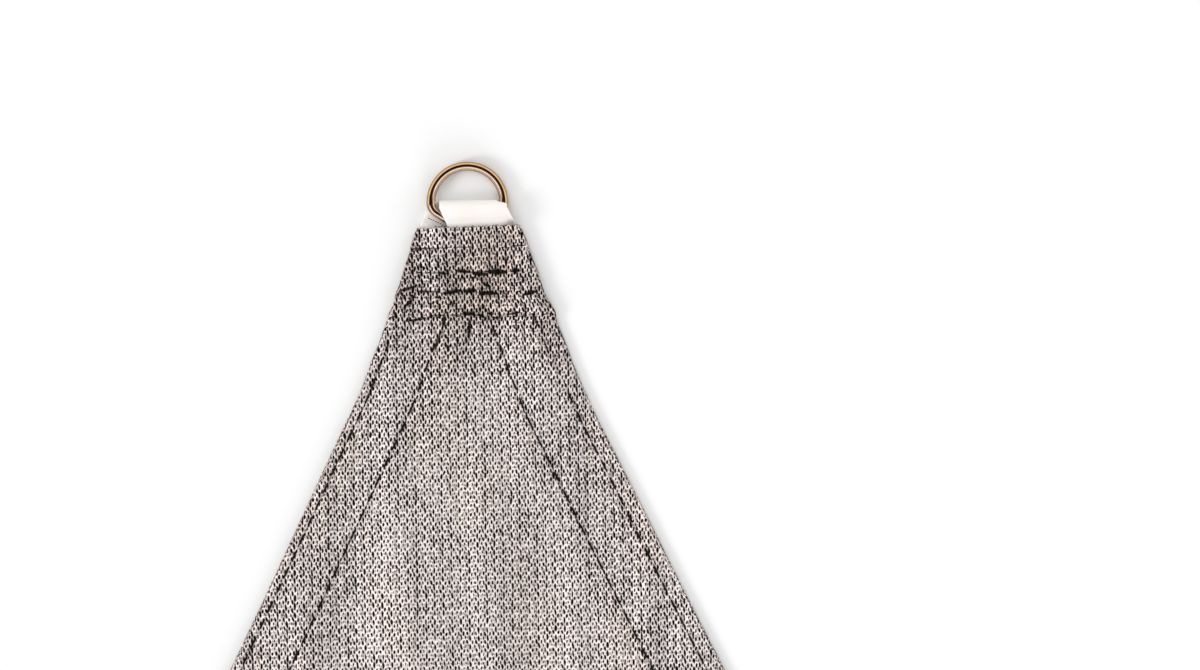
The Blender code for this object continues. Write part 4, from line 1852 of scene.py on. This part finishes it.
@dataclass
class Strap:
    """A corner's folded webbing strap."""

    shape: StrapShape
    place: SailPlace
    corner: Corner
    columns: int = 26
    fold_turns: int = 16
    row_step: float = 1.25 * MM
    edge_round: float = 0.7 * MM
    thinnest: float = 0.35
    # Where the fold's middle lies along the flat webbing.
    middle: float = 80 * MM

    @property
    def fold_arc(self) -> float:
        """Length of the webbing round the middle of its fold."""
        return math.pi * self.shape.bridge / 2

    def leg_rows(self) -> list[float]:
        """Where the rows across a leg lie.

        Returns:
            Their places along the corner.
        """
        start, end = self.shape.back_leg[0][0] * MM, self.shape.end
        count = round((end - start) / self.row_step)
        return [start + (end - start) * step / count for step in range(count + 1)]

    def spots(self, left: float, right: float) -> list[tuple[float, float]]:
        """Places across a leg and the share of its thickness there.

        Args:
            left: The leg's left edge.
            right: The leg's right edge.

        Returns:
            The places and their shares.
        """
        inside = [self.edge_round * part for part in (0.0, 0.12, 0.4, 1.0)]
        span = right - left
        middle = [
            self.edge_round + (span - 2 * self.edge_round) * step / self.columns
            for step in range(1, self.columns)
        ]
        offsets = inside + middle + [span - part for part in reversed(inside)]
        found = []
        for offset in offsets:
            near = min(offset, span - offset, self.edge_round) / self.edge_round
            round_off = math.sqrt(max(0.0, 1 - (1 - near) ** 2))
            found.append((left + offset, self.thinnest + (1 - self.thinnest) * round_off))
        return found

    def leg(
        self, table: tuple, high_at: Callable[[float, float], float], front: bool
    ) -> list[list[WebSpot]]:
        """Rows of one leg, from the strap's back end to its front end.

        Args:
            table: The leg's edges.
            high_at: Height of its underside at a place.
            front: True for the front leg.

        Returns:
            The rows.
        """
        rows = []
        for along in self.leg_rows():
            left, right = between(table, along, 1), between(table, along, 2)
            row = []
            for across, share in self.spots(left, right):
                middle = high_at(along, across) + self.shape.thick / 2
                half = self.shape.thick / 2 * share
                low = Vector((along, across, middle - half))
                top = Vector((along, across, middle + half))
                out = self.fold_arc / 2 + along - self.shape.back_leg[0][0] * MM
                flat = (across - left, self.middle + (out if front else -out))
                row.append((top, low, flat) if front else (low, top, flat))
            rows.append(row)
        return rows if front else rows[::-1]

    def fold(self) -> list[list[WebSpot]]:
        """Rows round the fold that holds the ring.

        Returns:
            The rows.
        """
        shape = self.shape
        centre_high = (shape.bridge + shape.thick) / 2
        centre_along = shape.fold_tip + centre_high
        rows = []
        for step in range(1, self.fold_turns):
            part = step / self.fold_turns
            angle = math.pi * part
            left, right = shape.fold_edges(part)
            row = []
            for across, share in self.spots(left, right):
                pair = []
                half = shape.thick / 2 * share
                middle = centre_high - shape.thick / 2
                for radius in (middle + half, middle - half):
                    x = centre_along - radius * math.sin(angle)
                    z = centre_high - radius * math.cos(angle)
                    pair.append(Vector((x, across, z)))
                flat = (across - left, self.middle + self.fold_arc * (part - 0.5))
                row.append((pair[0], pair[1], flat))
            rows.append(row)
        return rows

    def build(self, material: bpy.types.Material) -> bpy.types.Object:
        """Builds the strap.

        Args:
            material: Its finish.

        Returns:
            The strap.
        """
        rows = self.leg(self.shape.back_leg, self.shape.back_high, front=False)
        rows += self.fold()
        rows += self.leg(self.shape.front_leg, self.shape.front_high, front=True)
        form = SheetMesh()
        layers = []
        for layer in (0, 1):
            grid = []
            for row in rows:
                places = [(self.place.point(spot[layer], self.corner), spot[2]) for spot in row]
                grid.append([form.spot(at, flat) for at, flat in places])
            layers.append(grid)
        form.shell(layers)
        return form.finish(f"webbing_strap_{self.corner.word}", (material,))


@dataclass
class Ring:
    """A corner's welded D-ring."""

    place: SailPlace
    corner: Corner
    bar_drop: float = 15.5 * MM
    corner_radius: float = 7 * MM
    turn: float = math.radians(32)
    bar_high: float = 4.85 * MM
    arc_steps: int = 110
    corner_steps: int = 16
    bar_steps: int = 14

    def outline(self) -> list[tuple[float, float]]:
        """The D's centre line in its own flat frame: round end up, bar below.

        Returns:
            Its points in order.
        """
        down = self.bar_drop - self.corner_radius
        out = math.sqrt((RING_RADIUS - self.corner_radius) ** 2 - down**2)
        past = math.atan2(down, out)
        line = []
        for step in range(self.arc_steps + 1):
            angle = -past + (math.pi + 2 * past) * step / self.arc_steps
            line.append((RING_RADIUS * math.cos(angle), RING_RADIUS * math.sin(angle)))
        for step in range(1, self.corner_steps + 1):
            angle = math.pi + past + (math.pi / 2 - past) * step / self.corner_steps
            x = -out + self.corner_radius * math.cos(angle)
            line.append((x, -down + self.corner_radius * math.sin(angle)))
        for step in range(1, self.bar_steps + 1):
            line.append((-out + 2 * out * step / self.bar_steps, -self.bar_drop))
        for step in range(1, self.corner_steps):
            angle = -math.pi / 2 + (math.pi / 2 - past) * step / self.corner_steps
            x = out + self.corner_radius * math.cos(angle)
            line.append((x, -down + self.corner_radius * math.sin(angle)))
        return line

    def lay(self, x: float, y: float) -> Vector:
        """A point of the D as it lies in its corner, turned, with its far end on the ground.

        Args:
            x: Place across the D.
            y: Place up the D.

        Returns:
            The point in the corner.
        """
        beside = x * math.cos(self.turn) + y * math.sin(self.turn)
        up = -x * math.sin(self.turn) + y * math.cos(self.turn)
        share = (y + self.bar_drop) / (RING_RADIUS + self.bar_drop)
        high = self.bar_high + share * (WIRE / 2 - self.bar_high)
        return Vector((RING_ALONG - up, RING_ACROSS + beside, high))

    def build(self, material: bpy.types.Material) -> bpy.types.Object:
        """Builds the ring.

        Args:
            material: Its finish.

        Returns:
            The ring.
        """
        tubes = TubeMesh(24)
        path = [self.place.point(self.lay(x, y), self.corner) for x, y in self.outline()]
        tubes.thread(path, [WIRE / 2] * len(path), closed=True)
        return tubes.finish(f"steel_ring_{self.corner.word}", material)


@dataclass
class CutEdge:
    """Loose loops of yarn along the cloth's cut end at a corner."""

    shape: CornerShape
    place: SailPlace
    corner: Corner
    pitch: float = 2.5 * MM
    radius: float = 0.34 * MM

    def build(self, material: bpy.types.Material) -> bpy.types.Object:
        """Builds the loops.

        Args:
            material: Its finish.

        Returns:
            The loops.
        """
        rng = random.Random(23)
        tubes = TubeMesh(6)
        half = self.shape.half_width(0.0) - 1.2 * MM
        across = -half
        while across < half:
            wide = self.pitch * rng.uniform(0.34, 0.5)
            out = rng.uniform(0.5, 1.2) * MM
            path = []
            for step in range(7):
                angle = math.pi * step / 6
                y = across - wide * math.cos(angle)
                x = 0.5 * MM - out * math.sin(angle)
                hem = self.shape.hem_width(0.0, 1)
                away = max(half - abs(y), 0.0)
                high = self.shape.cloth_high(0.0, y, away, hem)[0]
                high += self.shape.thick * (0.55 + 0.25 * math.sin(angle))
                path.append(self.place.settled(Vector((x, y, high)), self.corner))
            tubes.thread(path, [self.radius] * len(path))
            across += self.pitch * rng.uniform(0.75, 1.2)
        return tubes.finish(f"cut_edge_{self.corner.word}", material)


@dataclass(frozen=True)
class YarnFinish:
    """Loose knitting yarn of the cut edge."""

    colour: Colour = (0.42, 0.38, 0.36)

    def make(self) -> bpy.types.Material:
        """Builds the material.

        Returns:
            The material.
        """
        board = Coat("loose_yarn")
        place = board.add("TexCoord").outputs["Object"]
        fleck = board.grain(place, 700.0, 2.0)
        dark = tuple(0.25 * part for part in self.colour)
        colour = board.blend(board.ease(fleck, 0.35, 0.6, 0.0, 1.0), dark, self.colour)
        board.paint(colour, 0.75)
        board.relief(fleck, 0.4, 0.15 * MM)
        return board.material


# The studio


@dataclass
class Studio:
    """Plain floor, soft light all round and the camera straight above the top corner."""

    place: SailPlace
    finish: FloorFinish = field(default_factory=FloorFinish)
    floor_size: float = 240.0
    floor_gap: float = 0.3 * MM
    view_width: float = 740.4 * MM
    view_right: float = 78.4 * MM
    view_below: float = 67.6 * MM
    camera_high: float = 3.0
    roll: float = math.radians(-0.8)
    sky_strength: float = 0.72
    # What the steel mirrors, by height from the horizon (0) to straight up (1): a warm panel
    # behind the tip, a bright one before it, and a dark ceiling.
    behind: tuple[tuple[float, Colour], ...] = (
        (0.00, (0.80, 0.56, 0.30)),
        (0.30, (1.00, 0.78, 0.42)),
        (0.60, (0.90, 0.68, 0.36)),
        (0.70, (0.030, 0.008, 0.006)),
        (1.00, (0.030, 0.010, 0.012)),
    )
    before: tuple[tuple[float, Colour], ...] = (
        (0.00, (0.36, 0.26, 0.19)),
        (0.40, (0.26, 0.19, 0.15)),
        (0.58, (1.00, 0.95, 0.88)),
        (0.90, (1.00, 0.94, 0.92)),
        (0.965, (0.05, 0.02, 0.02)),
    )
    mirrored_strength: float = 1.1
    # Lamps: azimuth, elevation, width of the soft disc (degrees), strength.
    lamps: tuple[tuple[float, float, float, float], ...] = (
        (125.0, 50.0, 30.0, 0.30),
        (205.0, 25.0, 16.0, 1.30),
        (20.0, 14.0, 20.0, 0.40),
        (100.0, 14.0, 20.0, 0.45),
        (280.0, 14.0, 20.0, 1.15),
    )

    def floor(self) -> bpy.types.Object:
        """Makes the floor.

        Returns:
            The floor.
        """
        half = self.floor_size / 2
        mesh = bpy.data.meshes.new("floor")
        ring = [(-half, -half, 0), (half, -half, 0), (half, half, 0), (-half, half, 0)]
        mesh.from_pydata(ring, [], [(0, 1, 2, 3)])
        mesh.materials.append(self.finish.make())
        floor = linked("floor", mesh)
        floor.location.z = -self.floor_gap
        return floor

    def sky(self) -> None:
        """Makes the pale sky that lights the sail and the darker one that the steel mirrors."""
        world = bpy.data.worlds.new("studio_sky")
        bpy.context.scene.world = world
        board = NodeBoard(world)
        nodes = board.tree.nodes
        pale = nodes["Background"]
        board.join((1.0, 1.0, 1.0), pale.inputs["Color"])
        board.join(self.sky_strength, pale.inputs["Strength"])
        way = board.add("TexCoord").outputs["Generated"]
        parts = board.add("SeparateXYZ", {0: way}).outputs
        ramps = [self.ramp(board, parts[2], stops) for stops in (self.behind, self.before)]
        both = board.blend(board.span(parts[1], 0.08, -0.08, 0.0, 1.0), *ramps)
        mirrored = board.add("Background", {"Color": both, "Strength": self.mirrored_strength})
        rays = board.add("LightPath").outputs["Is Glossy Ray"]
        choice = board.add("MixShader", {0: rays, 1: pale.outputs[0], 2: mirrored.outputs[0]})
        board.join(choice.outputs[0], nodes["World Output"].inputs[0])

    def ramp(self, board: NodeBoard, high: object, stops: Sequence) -> bpy.types.NodeSocket:
        """Colours that change with the height over the horizon.

        Args:
            board: The sky being made.
            high: Height over the horizon.
            stops: Heights and their colours.

        Returns:
            The colour.
        """
        ramp = board.add("ValToRGB", {0: high})
        marks = ramp.color_ramp.elements
        while len(marks) < len(stops):
            marks.new(0.5)
        for mark, (place, colour) in zip(marks, stops):
            mark.position = place
            mark.color = (*colour, 1.0)
        return ramp.outputs[0]

    def light(self) -> None:
        """Makes the soft lamps."""
        for number, (azimuth, elevation, width, strength) in enumerate(self.lamps):
            lamp = bpy.data.lights.new(f"lamp_{number}", "SUN")
            lamp.energy = strength
            lamp.angle = math.radians(width)
            thing = linked(f"lamp_{number}", lamp)
            around, up = math.radians(azimuth), math.radians(elevation)
            level = math.cos(up)
            source = Vector((level * math.cos(around), level * math.sin(around), math.sin(up)))
            thing.rotation_mode = "QUATERNION"
            thing.rotation_quaternion = source.to_track_quat("Z", "Y")
            thing.visible_glossy = False

    def camera(self) -> None:
        """Makes the camera that looks straight down on the top corner."""
        data = bpy.data.cameras.new("camera")
        data.sensor_width = 36.0
        data.lens = data.sensor_width * self.camera_high / self.view_width
        camera = linked("camera", data)
        mouth = self.place.point(Vector((0.0, 0.0, 0.0)), Corner.TOP)
        camera.location = mouth + Vector((self.view_right, -self.view_below, self.camera_high))
        camera.rotation_euler = (0.0, 0.0, self.roll)
        data.clip_end = 100.0
        bpy.context.scene.camera = camera

    def build(self) -> bpy.types.Object:
        """Sets up the whole studio.

        Returns:
            The floor.
        """
        bpy.context.scene.view_settings.view_transform = "Standard"
        self.sky()
        self.light()
        self.camera()
        return self.floor()


def enter(piece: bpy.types.Object, node: str | None = None) -> bpy.types.Object:
    """Puts a piece under the root body, hides the solid it stands for, and logs it.

    Args:
        piece: The dressed piece.
        node: The solid that it stands for, if any.

    Returns:
        The same piece.
    """
    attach(piece, "root")
    if node:
        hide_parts(node)
    LOG.info("%s: %d faces", piece.name, len(piece.data.polygons))
    return piece


def main() -> None:
    """Builds and dresses every piece."""
    logging.basicConfig(level=logging.INFO, format="%(message)s")
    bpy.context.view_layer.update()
    shape = CornerShape()
    place = SailPlace.from_frame(shape)
    Studio(place).build()
    knits = (KnitFinish(KnitSide.FACE), KnitFinish.reverse(), KnitFinish.turned_hem())
    sheet = SailCloth(shape, place, *knits).build()
    enter(sheet, "sail_cloth")
    sewing = Stitches(shape, place, ThreadFinish()).build()
    with_sheet = [enter(stitches) for stitches in sewing]
    webbing, steel, yarn = WebbingFinish().make(), SteelFinish().make(), YarnFinish().make()
    for corner in Corner:
        strap = Strap(shape.strap, place, corner).build(webbing)
        enter(strap, f"strap_{corner.word}")
        enter(Ring(place, corner).build(steel), f"ring_{corner.word}")
        loops = CutEdge(shape, place, corner).build(yarn)
        with_sheet.append(enter(loops))


if __name__ == "__main__":
    main()
